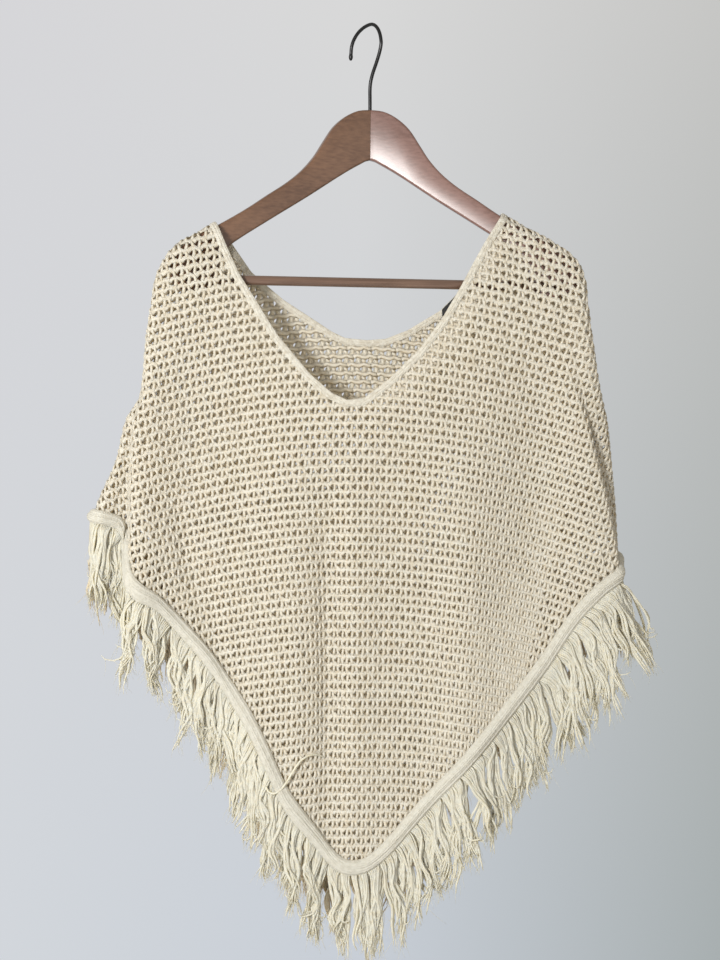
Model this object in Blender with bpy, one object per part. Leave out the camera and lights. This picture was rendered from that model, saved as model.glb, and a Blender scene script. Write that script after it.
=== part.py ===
"""Knitted poncho sweater with a V neck and a fringed, pointed hem, hung on a wooden hanger.

Blender 4.5. Tables are in millimetres, meshes in metres. +Z is up, the front of the garment
faces -Y and +X is to the right of someone who looks at its front. The origin is the underside
of the hook's crook, where the hook sits on a rod. "Drop" is the distance below the origin.

The garment is one closed tube of cloth. A horizontal section of it is a ring that is followed
by an angle: 0 at the left seam, pi/2 at the middle of the front, pi at the right seam and
3*pi/2 at the middle of the back. Its cosine gives "across": -1 at the left seam, +1 at the
right one. Each panel, band and fringe is a patch of that tube.
"""

import math

import bmesh
import bpy
import numpy as np
from mathutils import Matrix, Vector

MM = 0.001

# ---- driving sizes, mm -------------------------------------------------------------------

PANEL_WALL = 3.0            # knitted net, across its yarns
BAND_WALL = 4.0             # neck band and hem band, double knit
SEAM_GAP = 0.3              # between two pieces that are sewn together
HEM_GAP = 0.7               # the same along the hem, where the facets twist
NECK_BAND = 7.0
HEM_BAND = 14.0
BACKING = 3.0               # strip that the fringe's roots are fused into
FRINGE_LENGTH = 80.0
LOCK_PITCH = 12.5           # along the hem
LOCK_SHARE = 0.58           # of the pitch, the rest is the gap to the next lock
LOCK_RINGS = 2
LOCK_TAPER = 0.55           # of its width, lost by the tip
LOCK_LENGTHS = (0.93, 0.1)  # mean share of the fringe's length, and how much it varies
LOCK_WAVE = 1.6             # sideways
LOCK_DEPTH = 2.0            # in and out, at the tip
FLARE = 30.0                # how far the locks at the right hem corner swing out
FLARE_START = 210.0         # x from which they do, and over which width it grows
FLARE_WIDTH = 54.0
FLARE_BACK = 0.6            # share of it on the back
FRINGE_SPLIT = 1.0          # between the left and right fringes, at the hem's point
LABEL_SIZE = (34.0, 6.0)
LABEL_WALL = 0.8
LABEL_START = 74.0          # x of its left end
LABEL_INSET = 0.4           # below the edge of the neck band

ARM_ANGLE = math.radians(16.0)      # each arm of the contoured hanger points forward
ARM_THICK = 11.5
ARM_ROUND = 4.0
MITRE_SPARE = 4.0           # board past the middle, cut off by the mitre
HANGER_TILT = math.radians(0.5)     # the hanger hangs a little down to the right
APEX_DROP = 90.5
BAR_DIAMETER = 10.0
BAR_PLACE = (-59.0, 282.5)          # y and drop of the trouser bar
WIRE = 3.8
CROOK_NEAR = 19.0                   # from the stem to the wire on its near side
CROOK_FAR = 33.0
CROOK_HEIGHT = 24.0
HOOK_DIRECTION = (0.52, -0.854)     # the crook's plane, swivelled from the hanger's

# ---- tables, mm --------------------------------------------------------------------------

# The seam line: over the arm of the hanger, round its tip and down the side.
SIDES = (  # drop, left x, left y, right x, right y
    (190, -124, -34, 113, -30.5),
    (205, -146, -40, 136, -37),
    (219.5, -167, -46, 160, -44),
    (235, -193, -53.5, 187, -52),
    (246, -210, -58.5, 202, -56.5),
    (257, -219, -61.5, 213, -60.5),
    (270, -226, -62.5, 219, -62),
    (283, -231, -62.5, 222, -62),
    (303, -234, -62, 224, -62),
    (344, -240, -60, 230, -60),
    (385, -243, -50, 238, -53),
    (405, -247, -44, 244, -46),
    (426, -260, -39, 250, -40),
    (468, -270.5, -35, 255.5, -35),
    (525, -293.5, -29, 261, -30),
    (591, -297, -28, 264, -24),
    (940, -297, -28, 264, -24),
)

# Depth of the front and back sheets. The bow is how much further a sheet is at 200 mm from
# the middle.
SHEETS = (  # drop, front y, front bow, back y, back bow
    (190, -44, -5, -19, -18),
    (221, -52, -9, -19, -20),
    (257, -61, -9, -21, -21),
    (283, -67, -5, -22, -20),
    (344, -67, -4, -21, -12),
    (400, -66, -1, -18, -8),
    (470, -65, 0, -12, 2),
    (525, -64, 1, -8, 2),
    (600, -64, 1, -5, 2),
    (940, -62, 0, -2, 0),
)

# The front steps back to the sides in a rounded turn, given as shifts from a plain section.
# The edge is where the front sheet ends, the step is where the side begins behind it.
LEFT_STEP = (  # drop, step x, step y, edge x, edge y
    (270, 0, 0, 0, 0),
    (330, -16, 1, -21, 0),
    (385, -32, 3, -42, 0),
    (425, -29, 12, -40, 0),
    (470, -22.5, 21, -34, 1),
    (525, -5, 26, -16.5, 2),
    (590, -2.5, 27, -14, 2),
    (940, -2.5, 27, -14, 2),
)
RIGHT_STEP = (  # drop, step x, step y, edge x, edge y
    (344, 0, 0, 0, 0),
    (385, 0, 3, 3, 0),
    (425, 2, 8, 7, 0),
    (470, 9, 13, 14, 0),
    (525, 20, 15, 24, 1),
    (590, 25, 17, 32, 2),
    (940, 25, 17, 32, 2),
)

# Soft folds, seen from outside: a height above 0 is a ridge, below 0 a trough.
FRONT_FOLDS = (  # x at top, x at foot, top drop, foot drop, width left, width right, height
    (-178, -204, 300, 770, 38, 110, -13),
    (-216, -138, 500, 755, 14, 16, -4),
    (-88, -88, 420, 900, 38, 18, 5.5),
    (-51, -51, 460, 900, 12, 14, -6.5),
    (-26, -26, 460, 900, 14, 26, 4.5),
    (92, 90, 430, 900, 28, 32, 9),
    (174, 174, 300, 740, 42, 36, -12),
)
BACK_FOLDS = (  # x at top, x at foot, top drop, foot drop, width left, width right, height
    (-170, -195, 310, 720, 24, 24, -6),
    (-80, -95, 400, 860, 20, 20, 5),
    (15, 5, 450, 900, 26, 26, -6),
    (105, 118, 380, 820, 22, 22, 5),
    (185, 195, 330, 660, 22, 22, -5),
)

# Edges of the neck opening. The first and last points carry each line on over the arm.
FRONT_NECK = (  # x, drop
    (-191, 170), (-168, 220.3), (-157, 248), (-145, 275.5), (-126, 305.5), (-105, 338),
    (-71, 378), (-48, 398), (-32.5, 405), (-15, 403.5), (10.5, 384), (43, 352.5),
    (65.5, 322.5), (87, 286), (100, 262.5), (114, 238.5), (136, 205), (160, 168),
)
BACK_NECK = (  # x, drop
    (-191, 170), (-168, 220.3), (-152, 238), (-130, 269.5), (-113, 284), (-95, 298.5),
    (-67, 316), (-43.5, 331), (-29.5, 337.5), (-6, 339.5), (14, 338), (38, 328.5),
    (56, 317.5), (72, 308), (91, 289), (114, 256), (136, 205), (160, 168),
)

# Upper edge of the hem band.
FRONT_HEM = (  # across, drop
    (-1.0, 519), (-0.93, 523), (-0.875, 530), (-0.84, 549), (-0.8, 581), (-0.765, 595),
    (-0.707, 609), (-0.562, 657), (-0.418, 719), (-0.349, 761), (-0.28, 807), (-0.179, 851),
    (-0.129, 871.5), (-0.087, 882.5), (-0.049, 884.5), (-0.007, 880.5), (0.057, 863),
    (0.166, 825), (0.276, 789), (0.358, 760), (0.504, 707.5), (0.602, 670), (0.687, 632.5),
    (0.744, 611.5), (0.809, 593), (0.86, 583), (0.9, 574), (1.0, 565),
)
BACK_HEM = (  # across, drop
    (-1.0, 519), (-0.8, 548), (-0.562, 640), (-0.35, 740), (-0.2, 815), (-0.09, 862),
    (-0.03, 870), (0.03, 862), (0.2, 796), (0.45, 700), (0.7, 618), (0.86, 583), (1.0, 565),
)

# One arm of the hanger, from the middle out. The foot of its tip carries the bar.
ARM_TOP = (  # x, drop
    (0, 90.5), (15, 93), (28, 100), (41, 112), (52, 129), (62, 145), (75, 160.5),
    (91, 174.5), (113, 190), (134, 205), (160, 221.5), (187, 237), (202, 248.5),
    (211, 258), (215, 268),
)
ARM_FOOT = (  # x, drop
    (215, 279), (211, 288), (204, 293), (172, 293), (165, 289), (161, 279), (157, 263),
    (151, 250), (142, 239), (113, 217.5), (70, 189), (28, 160), (0, 143),
)

# Where the sections' stations lie across the front: seam, step, edge, three on the open
# sheet, edge, step, seam.
STATIONS = np.array([-1.0, -0.86, -0.8, -0.7, 0.0, 0.7, 0.86, 0.9, 1.0])
HEM_POINT = -0.05           # where the hem's point is, across
FRONT_ROUND = 12.0          # most that the front turns at a seam
BACK_ROUND = 16.0
FOLD_FADE = 24.0            # the folds fade out within this distance of the seams
FRONT_COLUMNS = 38          # on the open sheet, with more at the steps and seams
BACK_COLUMNS = 30
STEEPEST = 0.45             # share of its drawn width that the band keeps on a steep hem
NECK_SCAN = np.arange(195.0, 470.0, 1.0)
PANEL_ROWS = 20
ROW_CROWD = 1.35            # power by which a panel's rows crowd to its top

COLOURS = {  # base colour, roughness, metallic
    "knit": ((0.80, 0.74, 0.62), 0.95, 0.0),
    "band": ((0.82, 0.78, 0.68), 0.92, 0.0),
    "fringe": ((0.84, 0.79, 0.68), 0.93, 0.0),
    "label": ((0.02, 0.02, 0.02), 0.75, 0.0),
    "wood": ((0.23, 0.10, 0.06), 0.42, 0.0),
    "hook": ((0.02, 0.02, 0.02), 0.35, 0.6),
}


# ---- smooth tables -----------------------------------------------------------------------

def hermite(knots, values, place):
    """Smooth curve through values at knots. values is (knots, ...), place matches the rest."""
    knots = np.asarray(knots, float)
    values = np.asarray(values, float)
    place = np.clip(place, knots[0], knots[-1])
    slopes = np.empty_like(values)
    span = (knots[2:] - knots[:-2]).reshape((-1,) + (1,) * (values.ndim - 1))
    slopes[1:-1] = (values[2:] - values[:-2]) / span
    slopes[0] = (values[1] - values[0]) / (knots[1] - knots[0])
    slopes[-1] = (values[-1] - values[-2]) / (knots[-1] - knots[-2])
    cell = np.clip(np.searchsorted(knots, place, side="right") - 1, 0, len(knots) - 2)
    width = knots[cell + 1] - knots[cell]
    t = (place - knots[cell]) / width
    if values.ndim == 1:
        low, high, slope_low, slope_high = (values[cell], values[cell + 1],
                                            slopes[cell], slopes[cell + 1])
    else:
        def pick(array, row):
            return np.take_along_axis(array, row[None], axis=0)[0]
        low, high = pick(values, cell), pick(values, cell + 1)
        slope_low, slope_high = pick(slopes, cell), pick(slopes, cell + 1)
    return ((2 * t ** 3 - 3 * t ** 2 + 1) * low + (3 * t ** 2 - 2 * t ** 3) * high
            + (t ** 3 - 2 * t ** 2 + t) * width * slope_low
            + (t ** 3 - t ** 2) * width * slope_high)


def column(table, index, drop):
    """One named column of a table at the given drops."""
    return hermite([row[0] for row in table], [row[index] for row in table], drop)


def bumps(folds, x, drop):
    """Height of the soft folds above the plain sheet."""
    height = np.zeros_like(x)
    for x_top, x_foot, top, foot, wide_left, wide_right, rise in folds:
        along = np.clip((drop - top) / (foot - top), 0.0, 1.0)
        aside = x - x_top - (x_foot - x_top) * along
        half_width = np.where(aside < 0.0, wide_left, wide_right)
        height += rise * np.sin(math.pi * along) * np.exp(-(aside / half_width) ** 2)
    return height


# ---- the tube of cloth -------------------------------------------------------------------

def turn(distance, radius):
    """Share of the way out to the sheet at a distance from the seam: a quarter circle."""
    share = np.clip(distance / radius, 0.0, 1.0)
    return np.sqrt(1.0 - (1.0 - share) ** 2)


def tube(angle, drop):
    """Points of the cloth's middle surface, mm, for arrays of ring angle and drop."""
    angle, drop = np.broadcast_arrays(np.asarray(angle, float), np.asarray(drop, float))
    across = -np.cos(angle)
    in_front = np.sin(angle) >= 0.0
    left, left_y, right, right_y = (column(SIDES, i, drop) for i in (1, 2, 3, 4))
    front_y, front_bow, back_y, back_bow = (column(SHEETS, i, drop) for i in (1, 2, 3, 4))
    width = right - left
    lean = np.hypot(1.0, (column(SIDES, 1, drop + 1) - left)), \
        np.hypot(1.0, (column(SIDES, 3, drop + 1) - right))

    def front_sheet(x):
        return front_y + front_bow * (x / 200.0) ** 2

    def back_sheet(x):
        return back_y + back_bow * (x / 200.0) ** 2

    left_step = left + 0.07 * width + column(LEFT_STEP, 1, drop)
    left_edge = left + 0.10 * width + column(LEFT_STEP, 3, drop)
    right_edge = left + 0.93 * width + column(RIGHT_STEP, 3, drop)
    right_step = left + 0.95 * width + column(RIGHT_STEP, 1, drop)
    open_share = [(station + 0.8) / 1.66 for station in (-0.7, 0.0, 0.7)]
    open_x = [left_edge + share * (right_edge - left_edge) for share in open_share]
    front_x = np.stack([left, left_step, left_edge, *open_x, right_edge, right_step, right])
    front_stations = np.stack([
        np.maximum(front_sheet(left), left_y - FRONT_ROUND),
        front_sheet(left_step) + column(LEFT_STEP, 2, drop),
        front_sheet(left_edge) + column(LEFT_STEP, 4, drop),
        *[front_sheet(x) for x in open_x],
        front_sheet(right_edge) + column(RIGHT_STEP, 4, drop),
        front_sheet(right_step) + column(RIGHT_STEP, 2, drop),
        np.maximum(front_sheet(right), right_y - FRONT_ROUND),
    ])
    x_front = hermite(STATIONS, front_x, across)
    y_front = hermite(STATIONS, front_stations, across)
    x_back = left + width * (across + 1.0) / 2.0
    seam_back = (np.minimum(back_sheet(left), left_y + BACK_ROUND),
                 np.minimum(back_sheet(right), right_y + BACK_ROUND))
    near = np.clip(1.0 - (1.0 - np.abs(across)) / 0.25, 0.0, 1.0) ** 2
    seam_value = np.where(across < 0.0, seam_back[0], seam_back[1])
    y_back = back_sheet(x_back) * (1.0 - near) + seam_value * near

    x = np.where(in_front, x_front, x_back)
    on_left = across < 0.0
    inward = np.where(on_left, (across + 1.0) / 2.0 * width / lean[0],
                      (1.0 - across) / 2.0 * width / lean[1])
    seam_y = np.where(on_left, left_y, right_y)
    seam_sheet = np.where(in_front, np.where(on_left, front_stations[0], front_stations[-1]),
                          seam_value)
    radius = np.maximum(np.abs(seam_sheet - seam_y), 1.0)
    y = np.where(in_front, y_front, y_back)
    y = y + (seam_y - seam_sheet) * (1.0 - turn(inward, radius))
    free = np.clip(inward / FOLD_FADE, 0.0, 1.0)
    y = y - np.where(in_front, bumps(FRONT_FOLDS, x, drop) * free, 0.0)
    y = y + np.where(in_front, 0.0, bumps(BACK_FOLDS, x, drop) * free)
    return np.stack([x, y, -drop], axis=-1)


def outward(angle, drop):
    """Unit normals of the tube, pointing out of the garment."""
    step = 0.002
    along = tube(angle + step, drop) - tube(angle - step, drop)
    down = tube(angle, drop + 0.5) - tube(angle, drop - 0.5)
    normal = np.cross(along, down)
    normal /= np.linalg.norm(normal, axis=-1, keepdims=True)
    return -normal


def off_the_seams(angles, drop, in_front):
    """Ring angles for each row, with the first and last half a gap away from the seams."""
    step = 0.01
    spread = np.repeat(angles[None, :], len(drop), axis=0)
    turn_back = 1.0 if in_front else -1.0
    for place, seam, inward in ((0, angles[0], turn_back), (-1, angles[-1], -turn_back)):
        edge = drop[:, place]
        reach = np.linalg.norm(tube(seam + inward * step, edge) - tube(seam, edge), axis=-1)
        spread[:, place] = seam + inward * step * SEAM_GAP / 2.0 / reach
    return spread


# ---- edges of the pieces -----------------------------------------------------------------

def widened(edge, width):
    """A neck edge moved out into the cloth by a width."""
    points = np.array(edge, float)
    direction = np.gradient(points, axis=0)
    direction /= np.linalg.norm(direction, axis=1, keepdims=True)
    moved = points + width * np.stack([-direction[:, 1], direction[:, 0]], axis=1)
    return moved[np.argsort(moved[:, 0])]


def crossing(value, edge):
    """Drop at which the line of one ring angle crosses a neck edge."""
    x = tube(np.full_like(NECK_SCAN, value), NECK_SCAN)[:, 0]
    above = NECK_SCAN - np.interp(x, edge[:, 0], edge[:, 1])
    first = int(np.argmax(above > 0.0))
    share = above[first - 1] / (above[first - 1] - above[first])
    return NECK_SCAN[first - 1] + share


def neck_drop(angle, in_front, width):
    """Drops of a line along the neck, at a width from its edge. Front and back share the
    points on the seams."""
    front, back = widened(FRONT_NECK, width), widened(BACK_NECK, width)
    drops = []
    for value in np.atleast_1d(angle):
        if abs(math.sin(value)) < 1e-6:
            drops.append((crossing(value, front) + crossing(value, back)) / 2.0)
        else:
            drops.append(crossing(value, front if in_front else back))
    return np.array(drops)


def hem_drop(angle, in_front):
    """Drop of a panel's foot, which is the upper edge of its hem band."""
    table = FRONT_HEM if in_front else BACK_HEM
    return hermite([row[0] for row in table], [row[1] for row in table], -np.cos(angle))


def front_angles():
    """Ring angles across the front, closer together at the steps and seams."""
    across = np.concatenate([
        -1.0 + 0.12 * np.linspace(0.0, 1.0, 6)[:-1] ** 2,
        np.linspace(-0.88, -0.79, 9)[:-1],
        np.linspace(-0.79, 0.84, FRONT_COLUMNS),
        np.linspace(0.84, 0.92, 7)[1:],
        1.0 - 0.08 * np.linspace(1.0, 0.0, 5)[1:] ** 2,
    ])
    return np.arccos(-across)


def back_angles():
    """Ring angles across the back, from the left seam to the right one."""
    return 2.0 * math.pi - math.pi * np.linspace(0.0, 1.0, BACK_COLUMNS)


def hem_line(in_front):
    """A panel's foot as it is built: points, outward normals, and the ways down the cloth,
    longer where the foot slants so that what is below it keeps its width."""
    angles = front_angles() if in_front else back_angles()
    drop = hem_drop(angles, in_front)
    angles = off_the_seams(angles, drop[None, :], in_front)[0]
    points, normals = tube(angles, drop), outward(angles, drop)
    down = tube(angles, drop + 1.0) - points
    down /= np.linalg.norm(down, axis=1, keepdims=True)
    ahead = np.diff(points, axis=0)
    ahead /= np.linalg.norm(ahead, axis=1, keepdims=True)
    along = np.concatenate([ahead[:1], ahead]) + np.concatenate([ahead, ahead[-1:]])
    along /= np.linalg.norm(along, axis=1, keepdims=True)
    square = np.linalg.norm(np.cross(along, down), axis=1, keepdims=True)
    square[[0, -1]] = 1.0
    return points, normals, down / np.maximum(square, STEEPEST)


# ---- solids ------------------------------------------------------------------------------

def add_object(name, vertices, faces, material, smooth=True):
    """One closed mesh object, with its faces turned out."""
    mesh = bpy.data.meshes.new(name)
    mesh.from_pydata([tuple(float(c) * MM for c in v) for v in vertices], [], faces)
    work = bmesh.new()
    work.from_mesh(mesh)
    bmesh.ops.recalc_face_normals(work, faces=work.faces)
    work.to_mesh(mesh)
    work.free()
    thing = bpy.data.objects.new(name, mesh)
    bpy.context.scene.collection.objects.link(thing)
    mesh.materials.append(material)
    if smooth:
        mesh.shade_smooth()
        mesh.set_sharp_from_angle(angle=math.radians(40))
    return thing


def sheet_solid(name, middle, normal, wall, material):
    """A wall of cloth about a grid of points, (rows, columns, 3)."""
    rows, count = middle.shape[:2]
    sides = [(middle + normal * wall / 2.0), (middle - normal * wall / 2.0)]
    vertices = np.concatenate([side.reshape(-1, 3) for side in sides])
    inner = rows * count

    def index(row, place, side):
        return side * inner + row * count + place

    faces = []
    for row in range(rows - 1):
        for place in range(count - 1):
            for side in (0, 1):
                faces.append((index(row, place, side), index(row, place + 1, side),
                              index(row + 1, place + 1, side), index(row + 1, place, side)))
    border = ([(0, p) for p in range(count - 1)] + [(r, count - 1) for r in range(rows - 1)]
              + [(rows - 1, p) for p in range(count - 1, 0, -1)]
              + [(r, 0) for r in range(rows - 1, 0, -1)])
    for here, there in zip(border, border[1:] + border[:1]):
        faces.append((index(*here, 0), index(*there, 0), index(*there, 1), index(*here, 1)))
    return add_object(name, vertices, faces, material)


def ring_solid(name, sections, material):
    """A closed ring through four-cornered sections."""
    count, corners = len(sections), len(sections[0])
    vertices = [corner for section in sections for corner in section]
    faces = []
    for i in range(count):
        for k in range(corners):
            ahead, turned = (i + 1) % count, (k + 1) % corners
            faces.append((i * corners + k, i * corners + turned,
                          ahead * corners + turned, ahead * corners + k))
    return add_object(name, vertices, faces, material)


def tube_solid(name, path, radius, sides, material):
    """A round wire along a path, with flat ends."""
    path = [Vector(p) for p in path]
    sections, across = [], None
    for i, point in enumerate(path):
        along = (path[min(i + 1, len(path) - 1)] - path[max(i - 1, 0)]).normalized()
        if across is None:
            across = along.orthogonal()
        across = (across - along * across.dot(along)).normalized()
        other = along.cross(across)
        turns = [2.0 * math.pi * k / sides for k in range(sides)]
        sections.append([point + (across * math.cos(a) + other * math.sin(a)) * radius
                         for a in turns])
    vertices = [corner for section in sections for corner in section]
    faces = []
    for i in range(len(sections) - 1):
        for k in range(sides):
            turned = (k + 1) % sides
            faces.append((i * sides + k, i * sides + turned,
                          (i + 1) * sides + turned, (i + 1) * sides + k))
    faces.append(tuple(reversed(range(sides))))
    faces.append(tuple(range((len(sections) - 1) * sides, len(sections) * sides)))
    return add_object(name, vertices, faces, material)


# ---- the garment -------------------------------------------------------------------------

def make_panel(name, in_front, material):
    """A knitted panel from the neck band to the hem band. Its rows crowd to the top."""
    angles = front_angles() if in_front else back_angles()
    top = neck_drop(angles, in_front, NECK_BAND + SEAM_GAP)
    foot = hem_drop(angles, in_front)
    share = np.linspace(0.0, 1.0, PANEL_ROWS) ** ROW_CROWD
    drop = top[None, :] + (foot - top)[None, :] * share[:, None]
    angle = off_the_seams(angles, drop, in_front)
    return sheet_solid(name, tube(angle, drop), outward(angle, drop), PANEL_WALL, material)


def make_neck_band(material):
    """One ring of doubled knit, over both shoulders."""
    front, back = front_angles(), back_angles()[::-1]
    sections = []
    for angles, in_front in ((front, True), (back[1:-1], False)):
        inner = neck_drop(angles, in_front, 0.0)
        outer = neck_drop(angles, in_front, NECK_BAND)
        for angle, high, low in zip(angles, inner, outer):
            section = []
            for drop, sign in ((high, 1), (low, 1), (low, -1), (high, -1)):
                out = outward(angle, drop)
                section.append(tube(angle, drop) + sign * out * BAND_WALL / 2.0)
            sections.append(section)
    return ring_solid("neck_band", sections, material)


def make_hem_band(name, in_front, material):
    """Doubled knit, set square to the panel's foot."""
    points, normals, down = hem_line(in_front)
    gap = HEM_GAP * np.linalg.norm(down, axis=1, keepdims=True)
    middle = np.stack([points + down * gap, points + down * HEM_BAND])
    return sheet_solid(name, middle, np.stack([normals, normals]), BAND_WALL, material)


def flare(x, in_front):
    """How far a lock swings out sideways at its tip, towards the right hem corner."""
    right = FLARE * min(max((x - FLARE_START) / FLARE_WIDTH, 0.0), 1.0) ** 2
    return right if in_front else FLARE_BACK * right


def lock_roots(length):
    """Places along a backing where each lock's root begins and ends, mm."""
    locks = int(length[-1] / LOCK_PITCH)
    pitch = length[-1] / locks
    begins = (np.arange(locks) + 0.5 - LOCK_SHARE / 2.0) * pitch
    roots = np.stack([begins, begins + LOCK_SHARE * pitch], axis=1)
    for bend in length:
        roots[np.abs(roots - bend) < SEAM_GAP] = bend
    return roots


def make_fringe(name, in_front, first, last, phase, material):
    """A narrow backing strip with four-sided locks of yarn fused to its foot. It runs along
    the hem from one column to another."""
    points, normals, down = (line[first:last + 1] for line in hem_line(in_front))
    near = HEM_BAND + HEM_GAP * np.linalg.norm(down, axis=1, keepdims=True)
    half = normals * PANEL_WALL / 2.0
    corner_lines = [points + down * near + half, points + down * near - half,
                    points + down * (near + BACKING) - half,
                    points + down * (near + BACKING) + half]
    steps = np.linalg.norm(np.diff(points + down * near, axis=0), axis=1)
    length = np.concatenate([[0.0], np.cumsum(steps)])
    roots = lock_roots(length)
    stations = np.concatenate([length, roots.ravel()])
    stations[0] += FRINGE_SPLIT / 2.0 if first else 0.0
    stations[len(length) - 1] -= 0.0 if first else FRINGE_SPLIT / 2.0
    stations = np.unique(stations)
    vertices = [np.array([np.interp(place, length, line[:, axis]) for axis in range(3)])
                for place in stations for line in corner_lines]
    spans = [tuple(np.searchsorted(stations, root)) for root in roots]
    under_lock = {i for begin, end in spans for i in range(begin, end)}
    faces = [(3, 2, 1, 0), tuple(4 * (len(stations) - 1) + k for k in range(4))]
    for i in range(len(stations) - 1):
        for k in range(4):
            if k == 2 and i in under_lock:
                continue
            turned = (k + 1) % 4
            faces.append((4 * i + k, 4 * i + turned, 4 * i + 4 + turned, 4 * i + 4 + k))
    for lock, (begin, end) in enumerate(spans):
        root = [4 * begin + 2, 4 * begin + 3, 4 * end + 3, 4 * end + 2]
        corners = np.array([vertices[k] for k in root])
        centre = corners.mean(axis=0)
        usual, change = LOCK_LENGTHS
        long = FRINGE_LENGTH * (usual + change * math.sin(2.1 * lock + phase))
        side = flare(centre[0], in_front)
        previous = root
        for ring in range(1, LOCK_RINGS + 1):
            share = ring / LOCK_RINGS
            wave = LOCK_WAVE * math.sin(1.9 * ring + 0.55 * lock + phase)
            depth = LOCK_DEPTH * math.sin(1.3 * ring + 0.9 * lock + phase) * share
            shift = np.array([side * share ** 0.8 + wave, depth, -long * share])
            start = len(vertices)
            vertices.extend(centre + (corners - centre) * (1.0 - LOCK_TAPER * share) + shift)
            fresh = list(range(start, start + 4))
            for k in range(4):
                turned = (k + 1) % 4
                upper = [previous[k], previous[turned]]
                if ring == 1 and k in (1, 3):           # the root may run over a bend
                    between = [4 * i + (3 if k == 1 else 2) for i in range(begin + 1, end)]
                    upper[1:1] = between if k == 1 else between[::-1]
                faces.append((*upper, fresh[turned], fresh[k]))
            previous = fresh
        faces.append(tuple(previous))
    return add_object(name, vertices, faces, material)


def make_label(material):
    """Blank woven label on the inside of the back neck band."""
    across = np.linspace(0.30, 0.80, 400)               # the right half of the back neck
    angle = 2.0 * math.pi - np.arccos(-across)
    edge = neck_drop(angle, False, LABEL_INSET)
    low = neck_drop(angle, False, LABEL_INSET + LABEL_SIZE[1])
    points = tube(angle, edge)
    keep = points[:, 0] >= LABEL_START
    length = np.cumsum(np.linalg.norm(np.diff(points[keep], axis=0), axis=1))
    count = int(np.searchsorted(length, LABEL_SIZE[0]))
    picks = np.linspace(0, count, 9).astype(int)
    angle, edge, low = angle[keep][picks], edge[keep][picks], low[keep][picks]
    near = BAND_WALL / 2.0 + SEAM_GAP
    vertices, faces = [], []
    for i in range(len(angle)):
        for drop, depth in ((edge[i], near), (low[i], near),
                            (low[i], near + LABEL_WALL), (edge[i], near + LABEL_WALL)):
            vertices.append(tube(angle[i], drop) - outward(angle[i], drop) * depth)
    for i in range(len(angle) - 1):
        for k in range(4):
            turned = (k + 1) % 4
            faces.append((4 * i + k, 4 * i + turned, 4 * i + 4 + turned, 4 * i + 4 + k))
    faces.append((0, 1, 2, 3))
    faces.append(tuple(4 * (len(angle) - 1) + k for k in (3, 2, 1, 0)))
    return add_object("label", vertices, faces, material)


# ---- the hanger --------------------------------------------------------------------------

def hanger_matrix():
    """The hanger's own tilt, about the foot of the hook's stem."""
    apex = Vector((0.0, 0.0, -APEX_DROP * MM))
    return Matrix.Translation(apex) @ Matrix.Rotation(HANGER_TILT, 4, "Y") \
        @ Matrix.Translation(-apex)


def make_arm(name, side, material):
    """One half: a flat board with rounded edges, turned forward and mitred at the middle."""
    stretch = 1.0 / math.cos(ARM_ANGLE)
    outline = [(x * stretch, drop) for x, drop in ARM_TOP + ARM_FOOT]
    outline[0] = (-MITRE_SPARE, outline[0][1])
    outline[-1] = (-MITRE_SPARE, outline[-1][1])
    work = bmesh.new()
    ring = [work.verts.new((x * MM, -ARM_THICK / 2.0 * MM, -drop * MM)) for x, drop in outline]
    board = work.faces.new(ring)
    pushed = bmesh.ops.extrude_face_region(work, geom=[board])
    back = [item for item in pushed["geom"] if isinstance(item, bmesh.types.BMVert)]
    bmesh.ops.translate(work, verts=back, vec=(0.0, ARM_THICK * MM, 0.0))
    bmesh.ops.recalc_face_normals(work, faces=work.faces)
    rim = [edge for edge in work.edges
           if abs(edge.verts[0].co.y - edge.verts[1].co.y) < 1e-6]
    bmesh.ops.bevel(work, geom=rim, offset=ARM_ROUND * MM, segments=2, profile=0.5,
                    affect="EDGES", clamp_overlap=True)
    bmesh.ops.rotate(work, verts=work.verts, cent=(0, 0, 0),
                     matrix=Matrix.Rotation(-ARM_ANGLE, 3, "Z"))
    cut = bmesh.ops.bisect_plane(work, geom=work.verts[:] + work.edges[:] + work.faces[:],
                                 plane_co=(SEAM_GAP / 2.0 * MM, 0, 0), plane_no=(1, 0, 0),
                                 clear_inner=True)
    open_edges = [item for item in cut["geom_cut"] if isinstance(item, bmesh.types.BMEdge)]
    bmesh.ops.holes_fill(work, edges=open_edges, sides=0)
    if side < 0:
        bmesh.ops.scale(work, verts=work.verts, vec=(-1.0, 1.0, 1.0))
        bmesh.ops.reverse_faces(work, faces=work.faces)
    bmesh.ops.transform(work, verts=work.verts, matrix=hanger_matrix())
    mesh = bpy.data.meshes.new(name)
    work.to_mesh(mesh)
    work.free()
    mesh.materials.append(material)
    mesh.shade_smooth()
    mesh.set_sharp_from_angle(angle=math.radians(35))
    thing = bpy.data.objects.new(name, mesh)
    bpy.context.scene.collection.objects.link(thing)
    return thing


def make_bar(material):
    """Round trouser bar. Its slanted ends stand on the arms' front faces."""
    sides = 12
    y_bar, drop = BAR_PLACE
    radius = BAR_DIAMETER / 2.0
    face = (ARM_THICK / 2.0 + SEAM_GAP) / math.cos(ARM_ANGLE)
    vertices = []
    for side in (-1, 1):
        for k in range(sides):
            a = 2.0 * math.pi * k / sides
            y = y_bar + radius * math.cos(a)
            reach = (-y - face) / math.tan(ARM_ANGLE)
            vertices.append((side * reach, y, -drop + radius * math.sin(a)))
    faces = [(k, (k + 1) % sides, sides + (k + 1) % sides, sides + k) for k in range(sides)]
    faces.append(tuple(reversed(range(sides))))
    faces.append(tuple(range(sides, 2 * sides)))
    bar = add_object("hanger_bar", vertices, faces, material)
    bar.data.transform(hanger_matrix())
    return bar


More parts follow.
